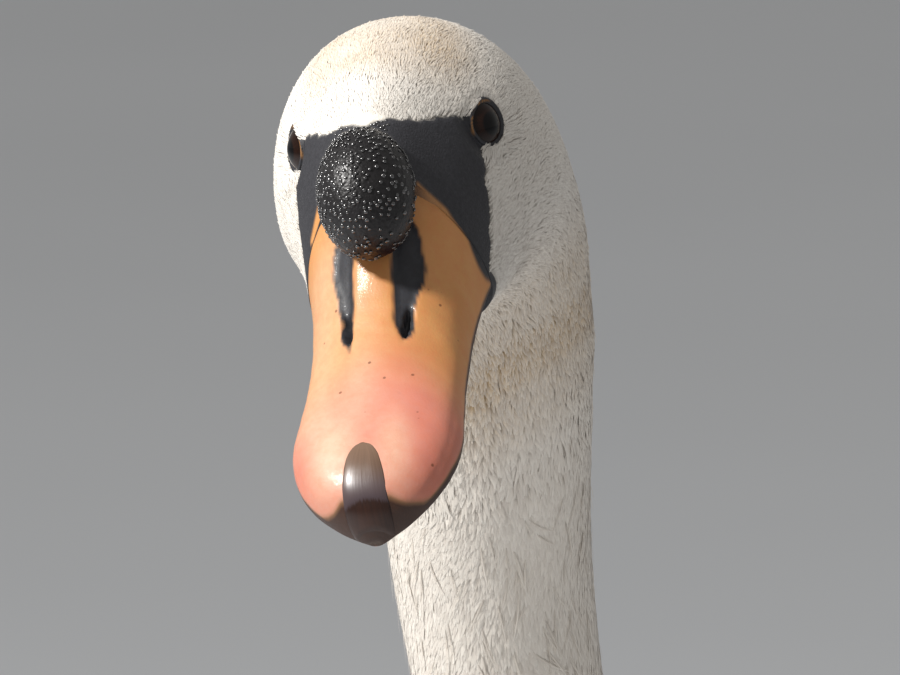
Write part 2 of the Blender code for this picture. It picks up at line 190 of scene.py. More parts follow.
def leaned(points, at):
    """Points of the form turned and swayed with the head: fully up to the nape, then less and less."""
    middle, share, sway = lean_at(at)
    points = rotated(points - middle, 0, 1, HEAD_TURN * share**2)
    points = rotated(points, 2, 0, HEAD_ROLL * share) + middle
    points[..., 0] += sway
    return points


def head_place(forward, up, side=0.0):
    """Places on the turned head."""
    return leaned(on_head(forward, up, side), 0.0)


def head_numbers(points):
    """Millimetres forward, up and to the left on the head, for places on the turned head."""
    middle, share, sway = lean_at(np.float64(0.0))
    points = points.copy()
    points[..., 0] -= sway
    points = rotated(points - middle, 2, 0, -HEAD_ROLL * share)
    points = (rotated(points, 0, 1, -HEAD_TURN * share**2) + middle - EYES) / MM
    side, level, height = np.moveaxis(points, -1, 0)
    forward = -level * math.cos(BILL_DROP) - height * math.sin(BILL_DROP)
    return forward, height * math.cos(BILL_DROP) - level * math.sin(BILL_DROP), side


def eased(value, start, end):
    """0 before start and 1 after end, with a smooth step between."""
    share = np.clip((np.asarray(value, float) - start) / (end - start), 0, 1)
    return share * share * (3 - 2 * share)


class Surface:
    """A form held as dense grids of places, normals and slopes, read at a place along and an angle round."""

    def __init__(self, place, last, steps, columns, outward=1.0):
        self.last, self.columns, self.outward = last, columns, outward
        self.at_step, self.angle_step = 1 / steps, TURN / columns
        at = np.linspace(0, last, last * steps + 1)
        angle = np.arange(columns) * self.angle_step
        self.place = place(at[:, None], angle[None, :])
        by_at = np.gradient(self.place, self.at_step, axis=0)
        by_angle = (np.roll(self.place, -1, 1) - np.roll(self.place, 1, 1)) / (2 * self.angle_step)
        normal = np.cross(by_angle, by_at) * outward
        normal /= np.linalg.norm(normal, axis=-1, keepdims=True) + 1e-12
        self.grid = np.concatenate((self.place, normal, by_at, by_angle), -1)

    def read(self, at, angle):
        """Place, normal, slope along and slope round; past either end the form runs straight on."""
        inside = np.clip(at, 0, self.last - 1e-6)
        row, column = inside / self.at_step, np.mod(angle, TURN) / self.angle_step
        i, j = row.astype(int), column.astype(int) % self.columns
        u, v = (row - i)[..., None], (column - np.floor(column))[..., None]
        right = (j + 1) % self.columns
        near = self.grid[i, j] * (1 - v) + self.grid[i, right] * v
        far = self.grid[i + 1, j] * (1 - v) + self.grid[i + 1, right] * v
        found = near * (1 - u) + far * u
        place, normal, by_at, by_angle = (found[..., k : k + 3] for k in (0, 3, 6, 9))
        return place + by_at * (at - inside)[..., None], normal, by_at, by_angle

    def walk(self, at, angle, heading, distance):
        """A step over the surface: heading 0 is along it and a quarter turn is round it."""
        _, _, by_at, by_angle = self.read(at, angle)
        aa, ab, bb = ((p * q).sum(-1) for p, q in ((by_at, by_at), (by_at, by_angle), (by_angle, by_angle)))
        spread = np.sqrt(np.maximum(aa * bb - ab * ab, 1e-18))
        one = distance * (np.cos(heading) / np.sqrt(aa) - np.sin(heading) * ab / np.sqrt(aa) / spread)
        other = distance * np.sin(heading) * np.sqrt(aa) / spread
        return at + one, angle + other


body = Surface(lambda at, angle: leaned(round_section(along(FORM, at), angle), at), TAIL_TIP, 24, 256)

COAT_PLACES = [0, 6, 8, 12, 16, 19, 22, 30, 33, 36]
COAT_DEPTHS = [0.7, 0.7, 0.9, 1.5, 2.6, 6.0, 10.0, 10.0, 5.0, 2.0]  # millimetres


def coat_depth(at):
    """How far the skin lies inside the outer form."""
    return np.interp(at, COAT_PLACES, COAT_DEPTHS) * MM


def waves(points, size, seed=0.0):
    """A smooth wandering value between about -1 and 1, whose swells are about this size in metres."""
    x, y, z = np.moveaxis(points / size, -1, 0)
    return (
        np.sin(2.1 * x + 1.3 * y + 0.7 * z + seed)
        + np.sin(-1.1 * x + 2.3 * y - 1.7 * z + 2 * seed)
        + np.sin(1.9 * z - 1.5 * x - 0.6 * y + 3 * seed)
        + np.sin(2.9 * y + 1.2 * z + 1.6 * x + 5 * seed)
    ) / 3


EYE_RADIUS = 9.0
EYE_CENTRE = (-1.6, -2.1, 15.5)  # forward, up and out
EYE_FRONT = 1.0  # no lid lies nearer to the eyeball's middle than this, along its axis
EYE_AXIS = np.array((0.36, 0.30, 0.88)) / np.linalg.norm((0.36, 0.30, 0.88))
EYE_FORWARD = np.array((1.0, 0.0, 0.0)) - EYE_AXIS * EYE_AXIS[0]
EYE_FORWARD /= np.linalg.norm(EYE_FORWARD)
EYE_UP = np.cross(EYE_AXIS, EYE_FORWARD)
LID_OPENING = (5.4, 4.9)  # half its length forward and half its height
LID_FULLNESS = 2.3
LID_MEAN = 5.3
FAR_OFF = 50.0


def eye_numbers(points, side):
    """Millimetres from an eyeball's middle: forward and up across its axis, and out along it."""
    forward, up, left = head_numbers(points)
    offset = np.stack((forward - EYE_CENTRE[0], up - EYE_CENTRE[1], left * side - EYE_CENTRE[2]), -1)
    return offset @ EYE_FORWARD, offset @ EYE_UP, offset @ EYE_AXIS


def lid_distance(points, side):
    """Millimetres from an eye's opening: negative inside it, and large behind the eyeball."""
    forward, up, out = eye_numbers(points, side)
    across = np.abs(forward / LID_OPENING[0]) ** LID_FULLNESS + np.abs(up / LID_OPENING[1]) ** LID_FULLNESS
    return np.where(out > EYE_FRONT, (across ** (1 / LID_FULLNESS) - 1) * LID_MEAN, FAR_OFF)


LORES_REAR = ([0.0, 9.5, 18.3, 22.0, 23.5], [18.5, 14.0, 5.5, 3.0, 2.6])  # aside, and forward
LORES_LOWER = (8.6, -1.4, -0.95, 0.72)  # a place forward and up, the edge's slope, and the slope's cosine
LORES_EDGE = 0.7  # half the breadth of their soft edge
LORES_LIMIT = -14  # nothing behind this is bare
GAPE = (31.0, -25.0, 3.4)  # forward, up, and how far bare skin reaches round the corner of the mouth
GAPE_HEIGHT = 0.55  # how much less a step up counts there than a step forward
GAPE_ASIDE = 12  # nearer to the middle than this there is no corner of the mouth
EYE_RING = ([-5.0, 1.0, 5.0], [0.55, 0.9, 1.9])  # bare skin round the eye, from its rear corner forward
EYE_RING_EDGE = 0.25


def bareness(points, beyond=0.0):
    """1 on the black bare skin between eye, forehead and bill, 0 under feathers, with a soft ragged edge that
    can be moved some millimetres beyond its place."""
    forward, up, left = head_numbers(points)
    behind = np.interp(np.abs(left), *LORES_REAR) - forward
    start, height, slope, flatness = LORES_LOWER
    below = ((height + slope * (forward - start)) - up) * flatness
    ragged = 0.45 * waves(points, 0.0016, 1.0) + 0.5 * waves(points, 0.006, 2.0)
    lores = 1 - eased(np.maximum(behind, below) + ragged - beyond, -LORES_EDGE, LORES_EDGE)
    gape = np.hypot(forward - GAPE[0], (up - GAPE[1]) * GAPE_HEIGHT) + 0.4 * ragged - beyond
    corner = 1 - eased(gape, GAPE[2] - LORES_EDGE, GAPE[2] + LORES_EDGE)
    lores = np.where(np.abs(left) > GAPE_ASIDE, np.maximum(lores, corner), lores)
    for side in (1, -1):
        ring = np.interp(eye_numbers(points, side)[0], *EYE_RING) + beyond
        away = lid_distance(points, side) + 0.3 * ragged
        lores = np.maximum(lores, 1 - eased(away, ring - EYE_RING_EDGE, ring + EYE_RING_EDGE))
    return np.where(forward > LORES_LIMIT, lores, 0.0)


# The sheath's edges beside the forehead, on the bird's left and on its right: millimetres up, and aside.
SHEATH_UP = ([-22, -20.2, -10.5, -2.8, 5.3], [-22, -15, -7.5, -1.5, 3.8])
SHEATH_OUTER = ([20.9, 20.4, 18.3, 15.0, 10.4], [21.2, 19.7, 17.8, 15.2, 12.8])
SHEATH_INNER = ([4.0, 4.0, 4.0, 7.0, 10.4], [4.0, 8.0, 11.0, 12.2, 12.7])


def sheath_edge(points):
    """Millimetres inside the outer and the inner edge of the bill's orange sheath, whose two points run up
    beside the knob."""
    _, up, left = head_numbers(points)
    outer, inner = (
        np.where(left > 0, np.interp(up, SHEATH_UP[0], table[0]), np.interp(up, SHEATH_UP[1], table[1]))
        for table in (SHEATH_OUTER, SHEATH_INNER)
    )
    top = np.where(left > 0, SHEATH_UP[0][-1], SHEATH_UP[1][-1])
    return np.minimum(outer - np.abs(left), top - up), np.abs(left) - inner


CROWN_TAN = 0.9
JAW_LINE = (71.8, 0.38, 0.52)  # millimetres below the eyes, and its climb forward and outward
JAW_WIDTHS = ((3, 13), (8, 34))  # where the crease and the broad band round it, tan stain and painted shade, begin to fade, and end
# A faint warm darkening down the front of the neck: partly tan stain, partly painted shade.
NECK_TAN_AND_SHADE = 0.20


def stain_and_painted_shade(points):
    """1 where the white feathers are painted tan: a water stain on the crown, and along the crease of jaw and
    throat and down the neck a tan that is partly stain and partly painted shade of the crease and of the
    hollow under the cheek.
    """
    forward, up, left = head_numbers(points)
    crown = eased(up, 6, 15) * eased(-forward, -8, 4) * (1 - eased(-forward, 34, 52))
    crown = crown * (1 - 0.45 * eased(np.abs(left), 16, 30))
    jaw = np.abs(up + JAW_LINE[0] - JAW_LINE[1] * forward - JAW_LINE[2] * np.abs(left))
    # The crease and the broad band round it: tan stain, and painted shade of the crease and of the hollow
    # under the cheek.
    crease, halo_stain_and_shade = (1 - eased(jaw, *width) for width in JAW_WIDTHS)
    crease = np.maximum(crease, 0.6 * halo_stain_and_shade)
    crease = crease * eased(-forward, -26, -8) * (1 - eased(-forward, 12, 40))
    crease = np.maximum(crease, NECK_TAN_AND_SHADE * eased(-up, 35, 75) * (1 - eased(-up, 180, 300)))
    mottle = 0.25 - 0.25 * waves(points, 0.008, 4.0)
    return np.clip(np.maximum(crown * CROWN_TAN * (1 - mottle), crease * (1 - 0.4 * mottle)), 0, 1)


def set_numbers(mesh, name, values):
    """Stores one number for each point of a mesh."""
    attribute = mesh.attributes.new(name, "FLOAT", "POINT")
    attribute.data.foreach_set("value", np.asarray(values, np.float32))


def set_map(mesh, name, values, corners):
    """Stores a map, from the values at a mesh's points and the number of the point at each corner."""
    layer = mesh.uv_layers.new(name=name)
    layer.data.foreach_set("uv", values.reshape(-1, 2)[corners].ravel())


def mesh_places(mesh):
    """The places of a mesh's points."""
    places = np.empty(len(mesh.vertices) * 3)
    mesh.vertices.foreach_get("co", places)
    return places.reshape(-1, 3)


def mapped_grid(columns, rows):
    """A flat grid with a map, and its points' shares across and along it."""
    bm = bmesh.new()
    layer = bm.loops.layers.uv.new("OFBake")
    bmesh.ops.create_grid(bm, x_segments=columns, y_segments=rows, size=0.5)
    flat = np.array([vertex.co[:2] for vertex in bm.verts]) + 0.5
    for face in bm.faces:
        for loop in face.loops:
            loop[layer].uv = flat[loop.vert.index]
    return bm, flat


def mapped_ball(columns, rows):
    """A ball one unit in radius with a map, and its points' directions."""
    bm = bmesh.new()
    layer = bm.loops.layers.uv.new("OFBake")
    bmesh.ops.create_uvsphere(bm, u_segments=columns, v_segments=rows, radius=1.0)
    directions = np.array([vertex.co for vertex in bm.verts])
    for face in bm.faces:
        turns = [math.atan2(*directions[vertex.index, :2]) / TURN % 1 for vertex in face.verts]
        wraps = max(turns) - min(turns) > 0.5
        for loop, turn in zip(face.loops, turns, strict=True):
            down = math.acos(directions[loop.vert.index, 2]) / math.pi
            loop[layer].uv = ((turn + (wraps and turn < 0.5)) * 0.95, down)
    return bm, directions


def move_points(bm, places):
    """Moves a mesh's points to these places."""
    for vertex, co in zip(bm.verts, places, strict=True):
        vertex.co = co


def wrapped_grid(place, at, columns):
    """A grid laid round a form at these places along it, with its seam merged, its ends closed and a map."""
    bm, flat = mapped_grid(columns, len(at) - 1)
    rows = np.interp(flat[:, 1], np.linspace(0, 1, len(at)), at)
    move_points(bm, place(rows, flat[:, 0] * TURN))
    bmesh.ops.remove_doubles(bm, verts=bm.verts, dist=SEAM)
    bmesh.ops.holes_fill(bm, edges=[edge for edge in bm.edges if edge.is_boundary])
    bmesh.ops.recalc_face_normals(bm, faces=bm.faces)
    return bm


def add_piece(name, bm, finishes, smooth=True):
    """Makes a finished object of a bmesh."""
    mesh = bpy.data.meshes.new(name)
    bm.to_mesh(mesh)
    bm.free()
    for finish in finishes:
        mesh.materials.append(finish)
    if smooth:
        mesh.shade_smooth()
    made = bpy.data.objects.new(name, mesh)
    bpy.context.scene.collection.objects.link(made)
    return made


WING = np.array([  # y, upper edge's side and height, lower edge's, and the bulge outwards and inwards
    (-0.192, 0.106, 0.255, 0.122, 0.205, 0.010, 0.008),
    (-0.178, 0.086, 0.290, 0.146, 0.172, 0.028, 0.016),
    (-0.140, 0.056, 0.322, 0.168, 0.152, 0.044, 0.022),
    (-0.080, 0.029, 0.346, 0.186, 0.141, 0.056, 0.022),
    (-0.010, 0.014, 0.365, 0.194, 0.139, 0.062, 0.022),
    (0.070, 0.009, 0.377, 0.194, 0.144, 0.065, 0.022),
    (0.150, 0.008, 0.377, 0.184, 0.155, 0.063, 0.022),
    (0.230, 0.008, 0.364, 0.162, 0.170, 0.055, 0.020),
    (0.300, 0.008, 0.343, 0.134, 0.188, 0.045, 0.018),
    (0.360, 0.009, 0.320, 0.104, 0.205, 0.034, 0.015),
    (0.410, 0.011, 0.298, 0.073, 0.224, 0.019, 0.010),
    (0.445, 0.016, 0.280, 0.047, 0.242, 0.005, 0.004),
])


def wing_section(row, angle, side):
    """The place on a folded wing's cross-section at an angle from its upper edge, over its outer face."""
    y, upper_x, upper_z, lower_x, lower_z, outwards, inwards = np.moveaxis(row, -1, 0)
    chord_x, chord_z = lower_x - upper_x, lower_z - upper_z
    chord = np.hypot(chord_x, chord_z)
    bulge = np.sin(angle) * np.where(np.sin(angle) > 0, outwards, inwards)
    share = (1 - np.cos(angle)) / 2
    across = upper_x + chord_x * share - chord_z / chord * bulge
    height = upper_z + chord_z * share + chord_x / chord * bulge
    return np.stack((side * across, y + 0 * angle, height), -1)


def folded_form(rows, side, columns):
    """The outer form of a folded wing, or of its hand, from cross-sections."""
    return Surface(
        lambda at, angle: wing_section(along(rows, at), angle, side), len(rows) - 1, 24, columns, side
    )


wings = {side: folded_form(WING, side, 128) for side in (1, -1)}
WING_FLESH = 7.0 * MM  # from the wing's outer form in to its skin
WING_FLESH_SPAN = (1.2, 9.4)


def flesh_place(at, angle, side):
    """A place on a wing's skin, under its feathers."""
    place, normal, _, _ = wings[side].read(at, angle)
    return place - normal * WING_FLESH


LEG = np.array([  # x, y, z and radius, from inside the flank over the ankle and along the shank to the toes
    (0.096, 0.156, 0.080, 0.0120),
    (0.101, 0.186, 0.042, 0.0105),
    (0.104, 0.196, 0.017, 0.0102),
    (0.106, 0.168, 0.0115, 0.0078),
    (0.112, 0.124, 0.0095, 0.0070),
    (0.112, 0.084, 0.0095, 0.0078),
])
FOOT_JOINT = (0.112, 0.088)
TOE_LENGTHS = (0.104, 0.132, 0.126)  # inner, middle and outer
TOE_SPREAD = math.radians(18.0)
TOE_HEIGHT = 6.5 * MM
WEB_HEIGHT = 2.4 * MM
CLAW_SHARE = 0.12
WEB_HOLLOW = 0.16  # of the toes' reach, between two toes
KNUCKLES = 3.5  # on each toe
KNUCKLE_SWELL = 0.16
TOE_HALF = 0.10  # of the gap between two toes
FOOT_HALF = 6.5 * MM


def leg_place(at, angle, side):
    """The round leg, slightly waisted between its scale rings."""
    row = along(LEG, at)
    before, after = np.maximum(at - 0.05, 0), np.minimum(at + 0.05, len(LEG) - 1)
    ahead = along(LEG, after)[..., :3] - along(LEG, before)[..., :3]
    ahead /= np.linalg.norm(ahead, axis=-1, keepdims=True)
    aside = np.cross((1.0, 0.0, 0.0), ahead)
    aside /= np.linalg.norm(aside, axis=-1, keepdims=True)
    across = np.cross(ahead, aside)
    ring = 1 - 0.035 * np.abs(np.sin(at * 14)) * (at > 2)
    radius = (row[..., 3] * ring)[..., None]
    place = row[..., :3] + (aside * np.cos(angle)[..., None] + across * np.sin(angle)[..., None]) * radius
    return np.stack((side * place[..., 0], place[..., 1], np.maximum(place[..., 2], FLOOR)), -1)


def foot_place(across, share, side):
    """A place on a webbed foot folded flat on the floor: three jointed toes as ridges on one thin web."""
    inner, middle, outer = TOE_LENGTHS
    reach = middle + (np.where(across > 0, outer, inner) - middle) * np.abs(across)
    hollow = np.sin(np.pi * np.abs(across)) ** 2
    claw = 1 - CLAW_SHARE * (1 - np.abs(2 * np.abs(across) - 1) ** 6)
    reach = reach * claw * (1 - WEB_HOLLOW * hollow) * share
    nearest = np.minimum(np.abs(across), 1 - np.abs(across))
    knuckle = 1 + KNUCKLE_SWELL * np.cos(share * TURN * KNUCKLES) * (share > 0.15)
    ridge = np.exp(-((nearest / (TOE_HALF * (1.25 - 0.5 * share))) ** 2)) * knuckle
    height = WEB_HEIGHT + (TOE_HEIGHT - WEB_HEIGHT) * np.minimum(ridge, 1.0) * (1 - 0.55 * share)
    height = height - 0.35 * MM * np.abs(np.sin(share * 60)) * (1 - np.minimum(ridge, 1.0))
    edge = 1 - np.maximum(0.0, (share - 0.8) / 0.2) ** 2 * 0.55
    half_breadth = FOOT_HALF * (1 - share)
    x = side * (FOOT_JOINT[0] + np.sin(TOE_SPREAD * across) * reach + across * half_breadth)
    y = FOOT_JOINT[1] - 0.0003 - np.cos(TOE_SPREAD * across) * reach
    return np.stack((x, y, FLOOR + height * edge + (1 - share) ** 3 * 5 * MM), -1)


def foot_mesh(side):
    """The foot as a grid moved onto its shape, then extruded down to a flat sole."""
    bm, flat = mapped_grid(56, 48)
    move_points(bm, foot_place(flat[:, 0] * 2 - 1, flat[:, 1], side))
    sole = bmesh.ops.extrude_face_region(bm, geom=bm.faces[:])["geom"]
    for vertex in (part for part in sole if isinstance(part, bmesh.types.BMVert)):
        vertex.co.z = FLOOR
    bmesh.ops.recalc_face_normals(bm, faces=bm.faces)
    return bm


LID_AWAY = [-0.9, -0.45, -0.1, 0.25, 0.8, 1.3, 2.2]  # millimetres outside the eye's opening
LID_HEIGHTS = [-1.6, -1.1, 0.15, 0.55, 0.75, 0.4, 0.35]  # above the eyeball
LID_FADE = (1.2, 5.0)


def lidded(place, side):
    """Brings skin round an eye onto the eyeball: a rounded lid edge, a fold outside it, and a dish inside."""
    centre = head_place(EYE_CENTRE[0], EYE_CENTRE[1], side * EYE_CENTRE[2])
    away = lid_distance(place, side)
    out = place - centre
    out /= np.linalg.norm(out, axis=-1, keepdims=True)
    height = np.interp(away, LID_AWAY, LID_HEIGHTS)
    held = centre + out * ((EYE_RADIUS + height) * MM)[..., None]
    weight = (1 - eased(away, *LID_FADE))[..., None]
    return place * (1 - weight) + held * weight


KNOB_CENTRE = (35.0, 9.0, 0.2)  # millimetres forward, up and to the left
KNOB_RADII = (15.2, 11.0, 12.0)  # along the forehead, across, and out from it
KNOB_MEAN = 12.0
KNOB_SLOPE = math.radians(34.0)
KNOB_FILLET = 11.0


def knob_distance(points):
    """About how many millimetres a place is outside the forehead's knob."""
    forward, up, left = head_numbers(points)
    forward, up, left = forward - KNOB_CENTRE[0], up - KNOB_CENTRE[1], left - KNOB_CENTRE[2]
    sloping = forward * math.cos(KNOB_SLOPE) - up * math.sin(KNOB_SLOPE)
    out = forward * math.sin(KNOB_SLOPE) + up * math.cos(KNOB_SLOPE)
    share = np.linalg.norm(np.stack((sloping, left, out), -1) / np.array(KNOB_RADII), axis=-1)
    return (share - 1) * KNOB_MEAN


SKIN_PARTS = [(0, 6, 16), (6, 12, 11), (12, 18, 11), (18, 33.2, 6)]  # from, to, and rings in each step
SKIN_COLUMNS = 208
LID_REACH = 4  # the skin is finer than this many millimetres from an eye's opening
skin_rings = [
    np.linspace(low, high, round((high - low) * steps), endpoint=False) for low, high, steps in SKIN_PARTS
]
skin_rings = np.concatenate((*skin_rings, [SKIN_PARTS[-1][1]]))


def skin_place(at, angle):
    """The bare body: inside the outer form by the coat's depth, and raised to a soft foot round the knob."""
    place, normal, _, _ = body.read(at, angle)
    bare = bareness(place)
    fillet = np.maximum(1 - np.abs(knob_distance(place)) / KNOB_FILLET, 0) ** 2 * KNOB_FILLET / 4 * MM
    return place - normal * (coat_depth(at) * (1 - bare) - fillet)[..., None]


skin_mesh = wrapped_grid(skin_place, skin_rings, SKIN_COLUMNS)
middles = np.array([(edge.verts[0].co + edge.verts[1].co) / 2 for edge in skin_mesh.edges])
beside = np.minimum(lid_distance(middles, 1), lid_distance(middles, -1))
near_lids = [edge for edge, away in zip(skin_mesh.edges, beside, strict=True) if away < LID_REACH]
bmesh.ops.subdivide_edges(skin_mesh, edges=near_lids, cuts=2, use_grid_fill=True)
move_points(skin_mesh, lidded(lidded(np.array([vertex.co for vertex in skin_mesh.verts]), 1), -1))


def linear(hex_colour):
    """An sRGB hex colour as linear red, green and blue."""
    values = (int(hex_colour[k : k + 2], 16) / 255 for k in (1, 3, 5))
    return (*(v / 12.92 if v <= 0.04045 else ((v + 0.055) / 1.055) ** 2.4 for v in values), 1.0)


def add(tree, kind, sockets=None, output=0, **settings):
    """Adds a shader node with its settings, sets or links its sockets, and gives back one of its outputs."""
    made = tree.nodes.new("ShaderNode" + kind)
    for name, value in settings.items():
        setattr(made, name, value)
    for name, value in (sockets or {}).items():
        if isinstance(value, bpy.types.NodeSocket):
            tree.links.new(value, made.inputs[name])
        else:
            made.inputs[name].default_value = value
    return made.outputs[output]


def stored(tree, name):
    """A number stored at a mesh's points."""
    return add(tree, "Attribute", output=2, attribute_name=name)


def noise(tree, place, size, detail=2.0, roughness=0.5):
    """A cloudy pattern whose clouds are about this size."""
    sockets = {"Vector": place, "Scale": 1 / size, "Detail": detail, "Roughness": roughness}
    return add(tree, "TexNoise", sockets)


def ranged(tree, value, low, high, start=0.0, end=1.0):
    """A value stretched from one range to another."""
    sockets = {"Value": value, "From Min": low, "From Max": high, "To Min": start, "To Max": end}
    return add(tree, "MapRange", sockets)


def mixed(tree, share, first, second, **settings):
    """A mix of two colours, each written as a hex colour or made by another node."""
    first, second = (linear(colour) if isinstance(colour, str) else colour for colour in (first, second))
    return add(tree, "Mix", {0: share, 6: first, 7: second}, 2, data_type="RGBA", **settings)


def relief(tree, shader, height, strength, distance, **settings):
    """Raises a shader's surface by a pattern."""
    bump = add(tree, "Bump", {"Height": height, "Strength": strength, "Distance": distance}, **settings)
    tree.links.new(bump, shader.inputs["Normal"])
    return bump


def new_finish(name, **constants):
    """A material with its shader's constants set, with its node tree and its shader."""
    finish = bpy.data.materials.new(name)
    finish.use_nodes = True
    shader = finish.node_tree.nodes["Principled BSDF"]
    for socket, value in constants.items():
        shader.inputs[socket.replace("_", " ")].default_value = value
    return finish, finish.node_tree, shader


# Living skin: keratin over fat. The bare lores are matt black with a fine grain, and what lies under the coat
# is the colour of the feathers' down, so that nothing dark shows between them. Its tan is stain on the crown,
# and partly painted shade along the jaw crease and down the neck.
skin_finish, tree, shader = new_finish("bird_skin", Roughness=0.55, IOR=1.45)
place = add(tree, "TexCoord", output=3)
bare = stored(tree, "bare")
lid = stored(tree, "lid")
tan = stored(tree, "tan")
grain = noise(tree, place, 0.9 * MM, 3.0, 0.6)
streaks = noise(tree, place, 6 * MM, 4.0, 0.65)
black = mixed(tree, grain, "#1C1C20", "#3C3C41")
down = mixed(tree, streaks, "#DDD6CA", "#EFEAE1")
# The tan is stain on the crown, and partly painted shade along the jaw crease and down the neck.
tan_stain_and_shade = mixed(tree, tan, down, "#B79A72")
coloured = mixed(tree, bare, tan_stain_and_shade, black)
sheath = stored(tree, "sheath")
orange = mixed(tree, streaks, "#BE8040", "#D49D66")
coloured = mixed(tree, sheath, coloured, orange)
rimmed = mixed(tree, lid, coloured, "#A8763C")
tree.links.new(rimmed, shader.inputs["Base Color"])
cells = add(tree, "TexVoronoi", {"Vector": place, "Scale": 1 / (0.8 * MM)}, feature="DISTANCE_TO_EDGE")
dents = add(tree, "Math", {0: grain, 1: cells}, operation="MULTIPLY")
relief(tree, shader, dents, 0.55, 0.5 * MM)

# Grey-black leg skin: dry horny scales in rings and nets, with paler seams between them.
leg_finish, tree, shader = new_finish("leg_skin", Roughness=0.6, IOR=1.5)
place = add(tree, "TexCoord", output=3)
scales = add(tree, "TexVoronoi", {"Vector": place, "Scale": 1 / (2.6 * MM)}, feature="DISTANCE_TO_EDGE")
seams = ranged(tree, scales, 0.0, 0.12)
mottle = noise(tree, place, 9 * MM, 3.0)
grey = mixed(tree, mottle, "#2B2A2C", "#4A4745")
scaled = mixed(tree, seams, "#6A645E", grey)
tree.links.new(scaled, shader.inputs["Base Color"])
relief(tree, shader, seams, 0.6, 0.4 * MM)

skin = add_piece("skin", skin_mesh, (skin_finish, leg_finish))
for side in (1, -1):
    flesh = wrapped_grid(
        lambda at, angle, side=side: flesh_place(at, angle, side), np.linspace(*WING_FLESH_SPAN, 50), 64
    )
    leg = wrapped_grid(
        lambda at, angle, side=side: leg_place(at, angle, side), np.linspace(0, len(LEG) - 1, 90), 28
    )
    for name, bm in (("wing_flesh", flesh), ("shank", leg), ("webbed_foot", foot_mesh(side))):
        part = add_piece(name, bm, (skin_finish, leg_finish))
        if name != "wing_flesh":
            part.data.polygons.foreach_set("material_index", [1] * len(part.data.polygons))
        joined = skin.modifiers.new(name, "BOOLEAN")
        joined.operation, joined.solver, joined.object = "UNION", "EXACT", part
        part.hide_render = True
whole = bpy.data.meshes.new_from_object(skin.evaluated_get(bpy.context.evaluated_depsgraph_get()))
skin.modifiers.clear()
skin.data = whole
for part in [o for o in bpy.data.objects if o.name.startswith(("wing_flesh", "shank", "webbed_foot"))]:
    bpy.data.objects.remove(part)
points = mesh_places(whole)
nearer = np.where(head_numbers(points)[2] > 0, 1, -1)
rim_away = lid_distance(points, nearer)
rim_forward, rim_up, _ = eye_numbers(points, nearer)
rim_top = eased(0.1 * rim_forward + rim_up, 1.6, 3.4)
set_numbers(whole, "bare", bareness(points, 0.7))
set_numbers(whole, "tan", stain_and_painted_shade(points))
outer_edge, inner_edge = sheath_edge(points)
forward, up, _ = head_numbers(points)
at_base = (forward > 20) & (up > -7)
set_numbers(whole, "sheath", eased(np.minimum(outer_edge, inner_edge), -0.3, 0.35) * at_base)
set_numbers(whole, "lid", (1 - eased(np.abs(rim_away - 0.05), 0.05, 0.28)) * rim_top * 0.8)
whole.shade_smooth()
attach(skin, "root")
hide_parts("head", "neck_upper", "neck_middle", "neck_lower", "trunk", "wing_left", "wing_right")
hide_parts("leg_left", "leg_right", "foot_left", "foot_right")


# ---- Eyes ----
# Two moist eyeballs, seen only as far as the lids leave them open: a clear bulging cornea over a very dark
# brown iris and a round black pupil. Each is set in its socket and held by the lids.

CORNEA_HALF = 5.4  # millimetres across from its middle
CORNEA_BULGE = 0.55
IRIS_HALF = 4.7
PUPIL_HALF = 2.5

# Living eye: wet, clear and very smooth, so it mirrors the lights over a dark brown ring with radial threads.
eye_finish, tree, shader = new_finish("moist_eye", Roughness=0.03, IOR=1.336)
reach = stored(tree, "reach")
spokes = add(tree, "UVMap", uv_map="OFBake")
threads = add(tree, "Mapping", {"Vector": spokes, "Scale": (90.0, 2.0, 1.0)})
threads = noise(tree, threads, 1.0, 3.0)
iris = mixed(tree, threads, "#0F0806", "#2A150C")
inside = ranged(tree, reach, PUPIL_HALF - 0.15, PUPIL_HALF + 0.35)
outside = ranged(tree, reach, IRIS_HALF - 0.7, IRIS_HALF + 0.2)
round_pupil = mixed(tree, inside, "#050405", iris)
eye_colour = mixed(tree, outside, round_pupil, "#0B0706")
tree.links.new(eye_colour, shader.inputs["Base Color"])

for side, name in ((1, "left"), (-1, "right")):
    bm, directions = mapped_ball(48, 40)
    bow = np.hypot(directions[:, 0], directions[:, 1]) * EYE_RADIUS
    bulge = CORNEA_BULGE * (1 - eased(bow, 0.0, CORNEA_HALF)) * (directions[:, 2] > 0)
    radius = EYE_RADIUS + bulge
    local = directions[:, :1] * EYE_FORWARD + directions[:, 1:2] * EYE_UP + directions[:, 2:] * EYE_AXIS
    spot = np.array(EYE_CENTRE) + local * radius[:, None]
    move_points(bm, head_place(spot[:, 0], spot[:, 1], side * spot[:, 2]))
    bmesh.ops.recalc_face_normals(bm, faces=bm.faces)
    eye = add_piece(f"eyeball_{name}", bm, (eye_finish,))
    set_numbers(eye.data, "reach", np.where(directions[:, 2] > 0, bow, 20.0))
    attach(eye, "root")
    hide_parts(f"eye_{name}")


# ---- Knob ----
# The fleshy black knob of a grown male, on the forehead over the bill's base: soft bare skin, set all over
# with small round pebbles that stay wet and shiny, and reddish where it is thin, underneath.

PEBBLE = 1.15  # millimetres between pebbles
PEBBLE_HEIGHT = 0.10


def on_knob(directions):
    """Millimetres on the head for directions from the knob's middle: along its slope, across, and out."""
    sloping, across, out = (directions * np.array(KNOB_RADII)).T
    forward = KNOB_CENTRE[0] + sloping * math.cos(KNOB_SLOPE) + out * math.sin(KNOB_SLOPE)
    up = KNOB_CENTRE[1] + out * math.cos(KNOB_SLOPE) - sloping * math.sin(KNOB_SLOPE)
    return forward, up, across + KNOB_CENTRE[2]


